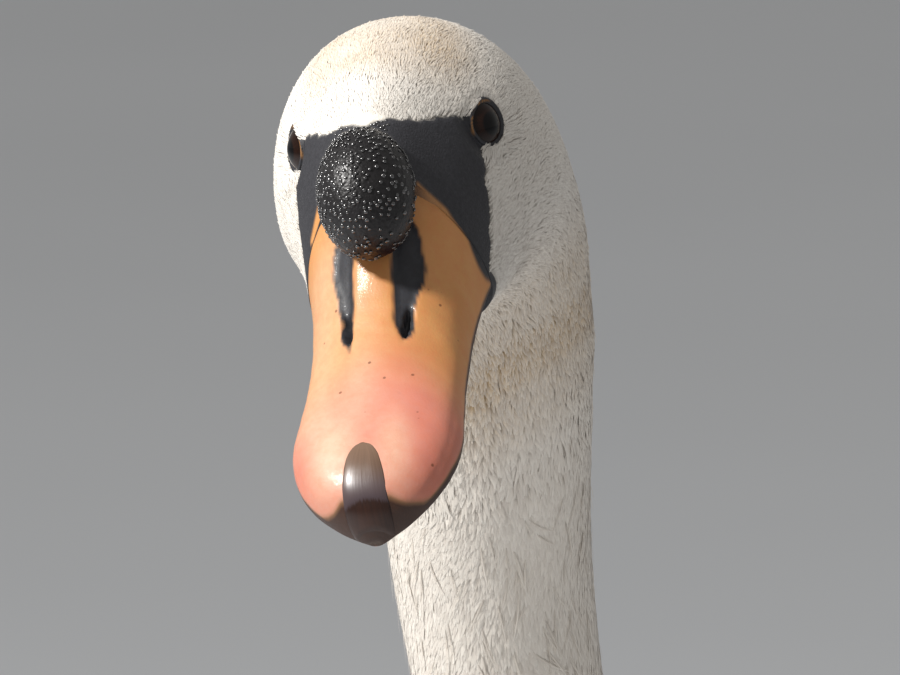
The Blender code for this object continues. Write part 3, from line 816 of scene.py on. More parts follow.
# Wet bare skin: nearly black, with the gloss of a thin film of oil and water over its pebbles.
knob_finish, tree, shader = new_finish(
    "knob_skin", Roughness=0.42, IOR=1.4, Coat_Weight=0.12, Coat_Roughness=0.2
)
place = add(tree, "TexCoord", output=3)
under = stored(tree, "under")
grain = noise(tree, place, 2.0 * MM, 4.0, 0.6)
black = mixed(tree, grain, "#0B0A0B", "#201E20")
warm = mixed(tree, grain, "#140A09", "#35140E")
knob_colour = mixed(tree, under, black, warm)
tree.links.new(knob_colour, shader.inputs["Base Color"])
fine = add(tree, "TexVoronoi", {"Vector": place, "Scale": 1 / (0.55 * MM)}, feature="SMOOTH_F1")
relief(tree, shader, fine, 0.5, 0.25 * MM, invert=True)

bm, directions = mapped_ball(220, 120)
smooth_spots = np.stack(on_knob(directions), -1)
nearest = np.array([mathutils.noise.voronoi(spot / PEBBLE)[0][0] for spot in smooth_spots])
pebbled = 1 + (PEBBLE_HEIGHT * (1 - eased(nearest, 0.0, 0.62)) - 0.1) / KNOB_MEAN
swell = 1 + 0.012 * waves(smooth_spots, 6.0, 3.0)
move_points(bm, head_place(*on_knob(directions * (pebbled * swell)[:, None])))
knob = add_piece("forehead_knob", bm, (knob_finish,))
set_numbers(knob.data, "under", eased(directions[:, 0] - 0.7 * directions[:, 2], 0.65, 1.15))
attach(knob, "root")
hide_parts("knob")


# ---- Knob pebbles ----
# Small round wet grains of skin that stand out all over the knob and on the forehead behind it, thickest
# above, each less than a millimetre across, grown on the skin and shining in the light.

GRAIN_GAP = 1.0  # millimetres
GRAIN_HALF = (0.36, 0.58)
GRAIN_FLATNESS = 0.6
GRAIN_BED = 12.6  # the mean radius at which they stand
GRAIN_TRIES = 1500  # on the forehead
GOLDEN_TURN = math.pi * (3 - math.sqrt(5))

# Wet skin at its glossiest: a film of water drawn up into a bead over each black grain.
grain_finish, tree, shader = new_finish(
    "wet_grain", Roughness=0.24, IOR=1.6, Coat_Weight=1.0, Coat_Roughness=0.2, Coat_IOR=1.8
)
place = add(tree, "TexCoord", output=3)
tint = noise(tree, place, 1.5 * MM, 2.0)
grain_black = mixed(tree, tint, "#0B0A0B", "#1E1D20")
tree.links.new(grain_black, shader.inputs["Base Color"])

dice = np.random.default_rng(77)
count = round(4 * math.pi * GRAIN_BED**2 / GRAIN_GAP**2)
heights = 1 - 2 * (np.arange(count) + 0.5) / count
turns = np.arange(count) * GOLDEN_TURN
rings = np.sqrt(1 - heights**2)
directions = np.stack((heights, rings * np.cos(turns), rings * np.sin(turns)), -1)
directions += dice.normal(0, 0.03, (count, 3))
directions /= np.linalg.norm(directions, axis=1, keepdims=True)
directions = directions[directions[:, 2] > -0.55]
shown = np.interp(directions[:, 0], [-0.5, 0.4, 1.0], [1.0, 0.7, 0.15])
shown *= np.interp(directions[:, 1], [0.1, 0.7], [1.0, 0.3])
kept = dice.random(len(directions)) < shown
knob_spots = head_place(*on_knob(directions[kept]))
at_grid, angle_grid = dice.uniform(0.3, 3.0, GRAIN_TRIES), dice.uniform(-0.55, 0.55, GRAIN_TRIES)
forehead_spots = skin_place(at_grid, angle_grid)
away = knob_distance(forehead_spots)
close = (away > 0.2) & (away < 6.0) & (bareness(forehead_spots) > 0.3)
close &= head_numbers(forehead_spots)[2] < 5.0
spots = np.concatenate((knob_spots, forehead_spots[close]))
normals = np.concatenate((
    knob_spots - head_place(*KNOB_CENTRE),
    body.read(at_grid, angle_grid)[1][close],
))
clear = [0]
for number in range(1, len(spots)):
    if np.linalg.norm(spots[clear] - spots[number], axis=1).min() > 0.8 * GRAIN_GAP * MM:
        clear.append(number)
grain_shape = bmesh.new()
bmesh.ops.create_icosphere(grain_shape, subdivisions=2, radius=1.0)
ball = np.array([vertex.co for vertex in grain_shape.verts])
ball_faces = np.array([[vertex.index for vertex in face.verts] for face in grain_shape.faces])
grain_shape.free()
out = normals[clear] / np.linalg.norm(normals[clear], axis=1, keepdims=True)
aside = np.cross(out, (0.0, 1.0, 0.0))
aside /= np.linalg.norm(aside, axis=1, keepdims=True)
frames = np.stack((aside, np.cross(out, aside), out * GRAIN_FLATNESS), 1)
frames *= dice.uniform(*GRAIN_HALF, (len(clear), 1, 1))
beads = spots[clear][:, None] + np.einsum("vk,nkj->nvj", ball, frames) * MM
mesh = bpy.data.meshes.new("knob_pebbles")
bead_faces = (ball_faces[None] + np.arange(len(clear))[:, None, None] * len(ball)).reshape(-1, 3)
mesh.from_pydata(beads.reshape(-1, 3).tolist(), [], bead_faces.tolist())
mesh.shade_smooth()
mesh.materials.append(grain_finish)
forward, _, left = head_numbers(beads)
set_map(mesh, "OFBake", np.stack(((left + 20) / 60, (forward + 10) / 80), -1), bead_faces.ravel())
grains = bpy.data.objects.new("knob_pebbles", mesh)
bpy.context.scene.collection.objects.link(grains)
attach(grains, "root")


# ---- Upper bill ----
# A leathery orange sheath over bone, broad and flattened towards the tip, with a ridge down its middle
# between two sunken black hollows. The nostrils are slits at the hollows' lower ends, and the cutting edge
# is dark.

BILL_UPPER = np.array([
    head_row((27.3, 7.5), (31.3, -25.0), 20.9, 0.93, 1.75, 3.0),
    head_row((34, 3), (36, -25.4), 19.9, 0.93, 1.8, 3.0),
    head_row((42, -3), (43, -26.0), 18.8, 0.92, 1.85, 3.0),
    head_row((51, -8.6), (53, -26.8), 18.2, 0.90, 1.95, 3.0),
    head_row((62, -12.8), (64, -27.4), 18.2, 0.88, 2.1, 2.8),
    head_row((74, -14.8), (76, -28.0), 18.8, 0.86, 2.3, 2.6),
    head_row((85, -16.4), (86, -29.0), 19.2, 0.84, 2.5, 2.5),
    head_row((94, -18.4), (93.5, -30.4), 17.4, 0.82, 2.5, 2.5),
    head_row((101, -21.6), (99.5, -32.2), 13.6, 0.80, 2.4, 2.4),
    head_row((105, -25.2), (103.5, -33.8), 8.8, 0.78, 2.2, 2.2),
    head_row((107, -29.4), (106, -35.0), 4.2, 0.70, 2.0, 2.0),
    head_row((107.4, -32.4), (106.9, -35.2), 1.8, 0.60, 2.0, 2.0),
])
BILL_LAST = len(BILL_UPPER) - 1
RIDGE_OFF = -0.9  # the ridge stands a little to the bird's right
HOLLOW_PLACES = [30, 33, 35, 38, 43, 47, 52, 57, 62.5, 64]
HOLLOW_INNER = [4.5, 4.5, 4.5, 4.5, 4.4, 4.4, 4.6, 5.0, 6.1, 7.0]
HOLLOW_OUTER = [5.5, 7.2, 9.2, 10.4, 10.8, 9.8, 8.7, 7.7, 6.4, 6.0]
HOLLOW_DEPTH = 0.75
NOSTRIL = (56.3, 7.0, 3.9, 1.05, 2.4)  # forward, aside, half length, half width and depth


def bill_surface(rows):
    """The outer form of half a bill, from cross-sections on the head."""
    return Surface(
        lambda at, angle: leaned(round_section(along(rows, at), angle), 0.0), len(rows) - 1, 24, 192, -1.0
    )


bill = bill_surface(BILL_UPPER)


def hollow_depth(forward, left):
    """How far inside a hollow's edge a place is, in millimetres, negative outside."""
    aside = np.abs(left)
    centred = np.abs(left - RIDGE_OFF * (1 - eased(forward, 55, 62)))
    wander = 0.30 * np.sin(forward * 0.55 + 2 * np.sign(left)) + 0.12 * np.sin(forward * 1.4)
    inner = centred - np.interp(forward, HOLLOW_PLACES, HOLLOW_INNER)
    return np.minimum(inner, np.interp(forward, HOLLOW_PLACES, HOLLOW_OUTER) - aside) + wander * 0.6


def nostril_depth(forward, left):
    """1 in the middle of a nostril's slit, 0 outside it."""
    ahead = forward - NOSTRIL[0]
    aside = np.abs(left) - NOSTRIL[1] + 0.15 * ahead
    return 1 - eased((ahead / NOSTRIL[2]) ** 2 + (aside / NOSTRIL[3]) ** 2, 0.25, 1.25)


def spot(*parts):
    """1 at one place and less round it: each part is a value, its middle and its spread."""
    return np.exp(-sum(((value - middle) / spread) ** 2 for value, middle, spread in parts))


def bill_place(at, angle):
    """The upper bill: its form, with its hollows, nostrils, rim and fine dimples pressed in."""
    place, normal, _, _ = bill.read(at, angle)
    forward, _, left = head_numbers(place)
    on_top = np.cos(angle) > -0.2
    sunk = HOLLOW_DEPTH * eased(hollow_depth(forward, left), -0.5, 1.3)
    sunk = sunk + NOSTRIL[4] * nostril_depth(forward, left)
    round_angle = np.minimum(angle, TURN - angle)
    along_rim = eased(forward, 72, 84) * (1 - eased(forward, 99, 104))
    groove = 0.10 * spot((round_angle, 1.18, 0.10)) - 0.16 * spot((round_angle, 1.42, 0.13))
    cheek = 0.35 * spot((forward, 66, 9), (round_angle, 0.75, 0.3))
    dimples = 0.05 * waves(place, 0.0022, 2.0) + 0.10 * waves(place, 0.009, 5.0)
    depth = on_top * (sunk + along_rim * groove + cheek) + dimples
    return place - normal * (depth * MM)[..., None]


# Bill sheath: thin keratin over blood-filled skin, moist and softly glossy. It is orange at the base, pinker
# and paler towards the tip, with a red flush on the left and tiny dark specks. It is cream beside the nail,
# and the bird's right flank, which faces the key light, is painted paler: a painted light.
bill_finish, tree, shader = new_finish(
    "bill_sheath", Roughness=0.5, IOR=1.45, Coat_Weight=0.12, Coat_Roughness=0.1, Subsurface_Weight=0.08,
    Subsurface_Radius=(1.0, 0.35, 0.2), Subsurface_Scale=0.002,
)
place = add(tree, "TexCoord", output=3)
named = {n: stored(tree, n) for n in ("hollow", "pink", "flush", "cream_and_painted_light", "dark")}
cloud = noise(tree, place, 14 * MM, 4.0, 0.6)
mottle = noise(tree, place, 2.2 * MM, 4.0, 0.65)
orange = mixed(tree, cloud, "#BE8040", "#D49D66")
salmon = mixed(tree, cloud, "#BF7260", "#CE8B78")
sheath = mixed(tree, named["pink"], orange, salmon)
sheath = mixed(tree, named["flush"], sheath, "#B45350")
# Cream beside the nail and along the ridge, and a painted light down the bird's right flank.
sheath = mixed(tree, named["cream_and_painted_light"], sheath, "#D2B196")
veined = ranged(tree, mottle, 0.35, 0.75, 0.0, 0.3)
sheath = mixed(tree, veined, sheath, "#C96E48")
specks = add(tree, "TexVoronoi", {"Vector": place, "Scale": 1 / (5.5 * MM), "Randomness": 1.0})
rare = ranged(tree, specks, 0.05, 0.085, 0.75, 0.0)
sheath = mixed(tree, rare, sheath, "#6A3A22")
fringe = ranged(tree, named["dark"], 0.0, 0.5)
sheath = mixed(tree, fringe, sheath, "#8E6747")
worn = ranged(tree, named["dark"], 0.25, 0.85)
sheath = mixed(tree, worn, sheath, "#381E0F")
slate = mixed(tree, mottle, "#17161A", "#36373D")
bill_colour = mixed(tree, named["hollow"], sheath, slate)
tree.links.new(bill_colour, shader.inputs["Base Color"])
pores = noise(tree, place, 0.7 * MM, 3.0, 0.6)
bump = relief(tree, shader, pores, 0.22, 0.25 * MM)
tree.links.new(bump, shader.inputs["Coat Normal"])

TIP_LINE = (  # where the dark rim round the tip ends: millimetres left of the ridge, and up
    [-18, -14, -10.5, -9.0, -7.5, -6.2, -5.2, 0, 6.0, 7.5, 9.3, 12.4, 16.5],
    [-29.4, -29.3, -29.0, -28.4, -27.2, -25.6, -24.4, -22.9, -24.0, -25.1, -26.5, -28.3, -28.8],
)
FLUSHES = [  # how red, forward, its spread, left, its spread
    (0.28, 94, 6.5, 11.8, 3.6),
    (0.34, 80, 8, 11, 5),
    (0.22, 90, 8, -16.5, 3.2),
    (0.30, 68, 9, 6, 6),
]
LOW_EDGE = ([27, 60, 94, 108], [-22.5, -24.8, -27.0, -31.0])  # of the side: forward, and up
BILL_RINGS = np.concatenate((np.linspace(0, 8, 128, endpoint=False), np.linspace(8, BILL_LAST, 48)))
upper_bill = add_piece("upper_bill", wrapped_grid(bill_place, BILL_RINGS, 176), (bill_finish,))
points = mesh_places(upper_bill.data)
forward, up, left = head_numbers(points)
low_edge = np.interp(forward, *LOW_EDGE)
in_hollow = eased(hollow_depth(forward, left) + 0.15 * waves(points, 0.003), -0.35, 0.35)
slit = np.hypot((forward - NOSTRIL[0]) / NOSTRIL[2], (np.abs(left) - NOSTRIL[1]) / NOSTRIL[3] / 1.35)
in_hollow = np.maximum(in_hollow, 1 - eased(slit, 0.95, 1.25)) * (up > -18)
at_base = eased(-sheath_edge(points)[0], -0.25, 0.25) * (forward < 35) * (up > -24)
set_numbers(upper_bill.data, "hollow", np.maximum(in_hollow, at_base))
towards_tip = forward + 3 * waves(points, 0.012, 1.0) - 0.25 * np.abs(left)
set_numbers(upper_bill.data, "pink", eased(towards_tip, 56, 84))
flush = sum(red * spot((forward, at, long), (left, aside, wide)) for red, at, long, aside, wide in FLUSHES)
set_numbers(upper_bill.data, "flush", np.clip(flush * (0.8 + 0.3 * waves(points, 0.004, 2.0)), 0, 0.9))
off_ridge = left - RIDGE_OFF
cream_and_painted_light = spot((forward, 93, 10), (np.abs(off_ridge), 7.0, np.where(left < 0, 5.6, 4.2)))
cream_and_painted_light *= np.where(left < 0, 0.85, 0.60)
cream_and_painted_light += 0.45 * spot((forward, 74, 13), (off_ridge, -1.5, 4.5))
# Painted light: a pale wash down the bird's right flank, the side lit by the key.
cream_and_painted_light += 0.5 * spot((left, -13.5, 6)) * eased(forward, 28, 40) * (1 - eased(forward, 80, 94))
set_numbers(upper_bill.data, "cream_and_painted_light", np.clip(cream_and_painted_light, 0, 1))
edge_dark = 1 - eased(up - low_edge, -0.6, 1.0)
tip_line = np.interp(off_ridge, *TIP_LINE) + 0.25 * waves(points, 0.004, 3.0)
round_tip = (1 - eased(up - tip_line, -2.2, 1.2)) * eased(forward, 86, 91)
set_numbers(upper_bill.data, "dark", np.clip(np.maximum(edge_dark * 0.9, round_tip * 0.96), 0, 1))
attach(upper_bill, "root")
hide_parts("bill_upper")


# ---- Nail ----
# The hard plate of horn that caps the bill's tip, a shield half a millimetre thick grown onto the sheath.
# It is taupe at its root, purple-grey in the middle and dark brown at its worn edge, and it is polished.

NAIL_ROOT = 6.72
NAIL_SHARES = [0, 0.01, 0.03, 0.06, 0.10, 0.16, 0.23, 0.30, 0.50, 0.80, 1.0]
NAIL_HALVES = [0.25, 1.3, 2.2, 3.0, 3.7, 4.3, 4.8, 5.1, 5.7, 6.5, 6.4]
NAIL_THICKNESS = 0.4 * MM
NAIL_STEPS = 10
NAIL_COLOURS = {  # from its root to its edge
    0.05: "#7C6250", 0.26: "#685142", 0.42: "#584A4A", 0.555: "#463A3E", 0.60: "#2A160F", 1.0: "#3A2013",
}

# Polished horn: translucent keratin with fine growth lines along it, worn very smooth.
nail_finish, tree, shader = new_finish(
    "nail_horn", Roughness=0.3, IOR=1.42, Coat_Weight=0.12, Coat_Roughness=0.08
)
shield = add(tree, "UVMap", uv_map="OFBake")
up_shield = add(tree, "SeparateXYZ", {0: shield}, 1)
lines = add(tree, "Mapping", {"Vector": shield, "Scale": (26.0, 2.2, 1.0)})
lines = noise(tree, lines, 1.0, 4.0, 0.6)
wander = add(tree, "Math", {0: lines, 1: 0.16, 2: up_shield}, operation="MULTIPLY_ADD")
horn = add(tree, "ValToRGB", {"Fac": wander})
ramp = horn.node.color_ramp.elements
for number, (share, colour) in enumerate(NAIL_COLOURS.items()):
    stop = ramp[number] if number < 2 else ramp.new(share)
    stop.position, stop.color = share, linear(colour)
streak = ranged(tree, lines, 0.3, 0.7, 0.75, 1.1)
horn_colour = mixed(tree, 1.0, horn, streak, blend_type="MULTIPLY")
tree.links.new(horn_colour, shader.inputs["Base Color"])
relief(tree, shader, lines, 0.15, 0.2 * MM)

bm, flat = mapped_grid(36, 60)
across, share = flat[:, 0] * 2 - 1, flat[:, 1]
half = np.interp(share, NAIL_SHARES, NAIL_HALVES) * MM
at = NAIL_ROOT + (BILL_LAST - 0.2 - NAIL_ROOT) * share
centre_at, centre_angle = bill.walk(at, 0 * at, math.pi / 2, RIDGE_OFF * (1 - share) * MM)
here_at, here_angle = centre_at, centre_angle
for _ in range(NAIL_STEPS):
    here_at, here_angle = bill.walk(here_at, here_angle, math.pi / 2, across * half / NAIL_STEPS)
place_on, normal_on, _, _ = bill.read(here_at, here_angle)
raised = 0.30 * (1 - across**4) * eased(share, 0, 0.2) + 0.04 - 0.6 * eased(share, 0.78, 1.0)
move_points(bm, place_on + normal_on * (raised * MM)[:, None])
bmesh.ops.recalc_face_normals(bm, faces=bm.faces)
if sum(face.normal.z for face in bm.faces) < 0:
    bmesh.ops.reverse_faces(bm, faces=bm.faces)
bmesh.ops.solidify(bm, geom=bm.faces[:], thickness=NAIL_THICKNESS)
bmesh.ops.recalc_face_normals(bm, faces=bm.faces)
nail = add_piece("bill_nail", bm, (nail_finish,))
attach(nail, "root")
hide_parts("nail")


# ---- Lower bill ----
# The flat lower half of the bill, shut against the upper one and mostly hidden by it: two thin rods of bone
# with skin between them, black along the cutting edge and dull orange-brown below.

BILL_LOWER = np.array([
    head_row((31.6, -25.6), (32.6, -33.8), 17.4, 0.10, 2.6, 2.2),
    head_row((44, -26.7), (44, -34.6), 16.4, 0.10, 2.6, 2.2),
    head_row((56, -27.4), (56, -35.0), 16.0, 0.12, 2.6, 2.2),
    head_row((68, -28.0), (68, -35.2), 15.9, 0.15, 2.6, 2.2),
    head_row((80, -28.8), (80, -35.4), 15.7, 0.20, 2.6, 2.2),
    head_row((90, -30.2), (90, -35.8), 13.8, 0.25, 2.6, 2.2),
    head_row((97, -32.0), (97, -36.2), 10.2, 0.30, 2.4, 2.2),
    head_row((101, -33.4), (101, -36.4), 5.8, 0.40, 2.0, 2.0),
])
ROD_GAP = ([32, 90, 101], [13, 10, 4])  # forward, and how far aside the rods lie
lower_surface = bill_surface(BILL_LOWER)


def lower_place(at, angle):
    """The lower bill, with its skin drawn up a little between the two rods."""
    place, normal, _, _ = lower_surface.read(at, angle)
    forward, _, left = head_numbers(place)
    half_gap = np.interp(forward, *ROD_GAP)
    between_rods = (1 - eased(np.abs(left) / half_gap, 0.55, 0.95)) * (np.cos(angle) < 0)
    rise = 1.3 * between_rods * (1 - eased(forward, 84, 96)) + 0.08 * waves(place, 0.003)
    return place - normal * (rise * MM)[..., None]


# Dull dark keratin over bone, less glossy than the upper bill.
lower_finish, tree, shader = new_finish("lower_bill_sheath", Roughness=0.42, IOR=1.5, Coat_Weight=0.2)
place = add(tree, "TexCoord", output=3)
mottle = noise(tree, place, 7 * MM, 4.0, 0.6)
depth = stored(tree, "below")
brown = mixed(tree, mottle, "#7A4526", "#B4703F")
lower_colour = mixed(tree, depth, "#1D1513", brown)
tree.links.new(lower_colour, shader.inputs["Base Color"])
relief(tree, shader, mottle, 0.2, 0.5 * MM)

lower_mesh = wrapped_grid(lower_place, np.linspace(0, len(BILL_LOWER) - 1, 90), 96)
lower_bill = add_piece("lower_bill", lower_mesh, (lower_finish,))
set_numbers(lower_bill.data, "below", eased(-head_numbers(mesh_places(lower_bill.data))[1], 29.5, 33.5) * 0.9)
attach(lower_bill, "root")
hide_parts("bill_lower")


# ---- Head coat ----
# Very short, dense, wet feathers that grip the head: narrow blades two or three millimetres long, rooted in
# the skin and lying back from the bill. They are longest down the nape, and clump where they are wet.

FLOOR_GAP = 0.4 * MM
PATCH_HALF = 0.0015  # half the breadth of a feather's patch in the map
VANE_UNIT = 10 * MM  # one unit of the map along a vane


def blade_points(rows, columns):
    """A flat blade's points, as -1 to 1 across and 0 to 1 along, and its faces, from a grid."""
    bm = bmesh.new()
    bmesh.ops.create_grid(bm, x_segments=columns, y_segments=rows, size=0.5)
    points = np.array([vertex.co[:2] for vertex in bm.verts]) * (2, 1) + (0, 0.5)
    faces = np.array([[vertex.index for vertex in face.verts] for face in bm.faces])
    bm.free()
    return points, faces


def sized(places, lengths, widths):
    """A function that gives feathers' lengths and widths from their places along a form; tables in mm."""
    return lambda at: (np.interp(at, places, lengths) * MM, np.interp(at, places, widths) * MM)


def rooted(surface, span, turn, sizes, gaps, seed):
    """Roots in staggered rows over a stretch of a form, as places along and round it. The gaps are shares of
    a feather's length and width; where the form is tighter, roots are thinned out."""
    dice = np.random.default_rng(seed)
    found = []
    at, count = span[0], 0
    while at < span[1]:
        angle = np.linspace(turn[0], turn[1], 721)
        _, _, by_at, by_angle = surface.read(np.full(angle.shape, at), angle)
        stretch, breadth = np.linalg.norm(by_at, axis=-1), np.linalg.norm(by_angle, axis=-1)
        run = np.concatenate(([0], np.cumsum((breadth[1:] + breadth[:-1]) / 2 * np.diff(angle))))
        length, width = sizes(at)
        number = max(int(run[-1] / (width * gaps[1])), 1)
        spots = np.arange(number) + 0.25 + 0.5 * (count % 2) + dice.uniform(-0.22, 0.22, number)
        angles = np.interp(spots / number * run[-1], run, angle)
        step = length * gaps[0] / stretch.max()
        kept = dice.random(number) < np.interp(angles, angle, stretch) / stretch.max()
        found.append(np.stack((at + step * dice.uniform(-0.3, 0.3, number), angles), -1)[kept])
        at, count = at + step, count + 1
    return np.concatenate(found).T


def vane_facing(form, turned, across, crown, tilt, dice):
    """The way each point of a vane faces: off the form, rounded over the shaft, and tilted at random."""
    _, normal, by_at, by_angle = form
    tailwards = by_at / np.linalg.norm(by_at, axis=-1, keepdims=True)
    sidewards = by_angle - (by_angle * tailwards).sum(-1, keepdims=True) * tailwards
    sidewards /= np.linalg.norm(sidewards, axis=-1, keepdims=True)
    leaning = (turned - math.pi / 2)[..., None]
    aside_of = sidewards * np.cos(leaning) - tailwards * np.sin(leaning)
    facing = normal + aside_of * (crown * across + tilt * dice.normal(0, 1, (len(turned), 1)))[..., None]
    facing += tailwards * (tilt * dice.normal(0, 1, (len(turned), 1)))[..., None]
    return facing / np.linalg.norm(facing, axis=-1, keepdims=True)


def joined_vanes(name, place, facing, faces):
    """One mesh of vanes that have the same faces, from each one's points and the way they face, and the
    number of the point at each of its corners."""
    number, points = place.shape[:2]
    mesh = bpy.data.meshes.new(name)
    mesh.vertices.add(number * points)
    mesh.vertices.foreach_set("co", place.ravel())
    corners = (faces[None] + np.arange(number)[:, None, None] * points).ravel()
    mesh.loops.add(len(corners))
    mesh.loops.foreach_set("vertex_index", corners)
    mesh.polygons.add(number * len(faces))
    mesh.polygons.foreach_set("loop_start", np.arange(0, len(corners), faces.shape[1]))
    mesh.update(calc_edges=True)
    mesh.shade_smooth()
    upright = np.empty(number * points * 3)
    mesh.vertex_normals.foreach_get("vector", upright)
    upright = upright.reshape(number, -1, 3)
    agreed = eased((upright * facing).sum(-1, keepdims=True), 0.0, 0.5)
    facing = facing * agreed + upright * (1 - agreed)
    mesh.normals_split_custom_set_from_vertices(facing.reshape(-1, 3))
    return mesh, corners


def plant(name, surface, roots, blade, size, finish, *, depth, rise, outline, cup=0.0, heading=0.0, curl=0.0,
          roll=0.0, crown=0.25, tilt=0.06, uneven=0.2, span=None, seed=1, extra=0.0, settled=None):
    """Lays one feather at each root, all joined into one mesh: its middle line walks over the form from the
    skin at its root to its tip, and its vane is spread to both sides over the form."""
    dice = np.random.default_rng(seed)
    at, angle = roots
    number = len(at)
    points, faces = blade
    faces = faces if surface.outward > 0 else faces[:, ::-1]
    levels = np.unique(points[:, 1].round(6))
    vary = 1 + uneven * dice.uniform(-1, 1, (2, number))
    length, half = size[0] * vary[0], size[1] / 2 * vary[1]
    heading = heading + np.zeros(number)
    line = [(at, angle)]
    for low, high in zip(levels[:-1], levels[1:], strict=True):
        line.append(surface.walk(*line[-1], heading + curl * high, length * (high - low)))
    line_at, line_angle = (np.stack(values, -1) for values in zip(*line, strict=True))
    level = np.searchsorted(levels, points[:, 1].round(6))
    share, across = points[:, 1], points[:, 0]
    aside = across * np.interp(share, *outline) * half[:, None]
    turned = heading[:, None] + (np.asarray(curl) * np.ones(number))[:, None] * share + math.pi / 2
    form = surface.read(*surface.walk(line_at[:, level], line_angle[:, level], turned, aside))
    place, normal = form[:2]
    lift = np.asarray(rise) * np.ones(number) * dice.uniform(0.3, 1.0, number)
    sunk = (depth * np.ones(number))[:, None] * (1 - share) ** 5
    height = extra - sunk + lift[:, None] * share**1.6
    height = height + cup * half[:, None] * (1 - across**2) * np.interp(share, [0, 0.4, 1], [1, 1, 0.4])
    height = height + (roll * dice.uniform(-1, 1, number))[:, None] * aside
    facing = vane_facing(form, turned, across, crown, tilt, dice)
    if settled:
        place = settled(place, normal)
    place = place + normal * height[..., None]
    place[..., 2] = np.maximum(place[..., 2], FLOOR + FLOOR_GAP)
    mesh, corners = joined_vanes(name, place, facing, faces)
    low, high = span or (at.min(), at.max() + 1e-6)
    root_spot = np.stack((np.mod(angle, TURN) / TURN, (at - low) / (high - low)), -1)[:, None]
    root_spot = root_spot * (1 - 4 * PATCH_HALF) + 2 * PATCH_HALF
    patch = root_spot + np.stack((across, share * 2 - 1), -1)[None] * PATCH_HALF
    set_map(mesh, "OFBake", patch, corners)
    set_map(mesh, "Vane", np.stack((aside, share * length[:, None]), -1) / VANE_UNIT, corners)
    mesh.uv_layers.active = mesh.uv_layers["OFBake"]
    set_numbers(mesh, "tan", np.repeat(stain_and_painted_shade(surface.read(at, angle)[0]), len(points)))
    set_numbers(mesh, "shade", np.repeat(dice.random(number), len(points)))
    set_numbers(mesh, "share", np.tile(share, number))
    mesh.materials.append(finish)
    piece = bpy.data.objects.new(name, mesh)
    bpy.context.scene.collection.objects.link(piece)
    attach(piece, "root")
    return piece


def feather_finish(name, barb_gap, strength):
    """White feather: keratin barbs without pigment, so light scatters in them. It is soft and matt, with a
    fine grain of barbs that slant from the shaft. Towards the root it is painted darker, a painted shade of
    the gaps between overlapping feathers, and its tan is held to the root, where it is partly stain and
    partly painted shade of those gaps."""
    finish, tree, shader = new_finish(name, Roughness=0.72, IOR=1.45, Sheen_Weight=0.12, Sheen_Roughness=0.5)
    vane = add(tree, "UVMap", uv_map="Vane")
    shade = stored(tree, "shade")
    share = stored(tree, "share")
    tan = stored(tree, "tan")
    white = mixed(tree, shade, "#DED7CE", "#EAE5DD")
    brown = mixed(tree, shade, "#94723F", "#C6A36E")
    # The tan is held to the root, where it is partly stain and partly painted shade of the gaps between
    # clumps.
    root_tan_and_shade = ranged(tree, share, 0.2, 0.95, 1.0, 0.35)
    amount = add(tree, "Math", {0: tan, 1: root_tan_and_shade}, operation="MULTIPLY")
    tan_stain_and_shade = mixed(tree, amount, white, brown)
    # Painted shade: darker towards the root, where the feathers overlap.
    root_painted_shade = ranged(tree, share, 0.0, 0.6, 0.86, 1.0)
    coloured = mixed(tree, 1.0, tan_stain_and_shade, root_painted_shade, blend_type="MULTIPLY")
    tree.links.new(coloured, shader.inputs["Base Color"])
    sides = add(tree, "SeparateXYZ", {0: vane})
    apart = add(tree, "Math", {0: sides}, operation="ABSOLUTE")
    lengthwise = add(tree, "SeparateXYZ", {0: vane}, 1)
    slant = add(tree, "Math", {0: apart, 1: -1.2, 2: lengthwise}, operation="MULTIPLY_ADD")
    comb = add(tree, "Math", {0: slant, 1: TURN * VANE_UNIT / barb_gap}, operation="MULTIPLY")
    barbs = add(tree, "Math", {0: comb}, operation="SINE")
    relief(tree, shader, barbs, strength, 0.15 * MM)
    return finish


tuft_finish = feather_finish("short_feather", 0.35 * MM, 0.25)
TUFT = blade_points(2, 1)
TUFT_OUTLINE = ([0, 0.5, 1.0], [0.75, 1.0, 0.22])
tuft_sizes = sized(
    [0, 1.5, 4, 6, 8, 10, 12, 14],
    [1.7, 2.1, 2.6, 3.0, 3.6, 4.6, 6.5, 8.5],
    [0.34, 0.36, 0.42, 0.48, 0.58, 0.75, 1.0, 1.3],
)
HEAD_PIECES = {  # name: the stretch along the form, and the stretch round it from the dorsal middle
    "crown_feathers": ((0.05, 6.2), (-1.15, 1.15)),
    "cheek_feathers_left": ((0.05, 6.2), (1.15, math.pi)),
    "cheek_feathers_right": ((0.05, 6.2), (math.pi, TURN - 1.15)),
    "nape_feathers": ((6.2, 11.0), (0.0, TURN)),
}
TUFT_GAPS = (0.27, 0.80)
STRAY_SHARE = 0.04  # of the feathers stand free of the rest
NAPE_SPAN = (5.5, 8.0)  # where the face's feathers turn into the neck's
NAPE_OVERLAP = 1.4  # how much wider the neck's are for their place
ROOT_DEPTHS = (0.8, 0.5)  # of the coat's depth, on the face and on the neck


def over_lids(place, normal):
    """Feathers beside an eye, brought up with the skin that the eyeball fills out."""
    nearer = np.where(head_numbers(place)[2] > 0, 1, -1)
    close = 1 - eased(lid_distance(place, nearer), *LID_FADE)
    return lidded(lidded(place, 1), -1) + normal * (close * 0.25 * MM)[..., None]


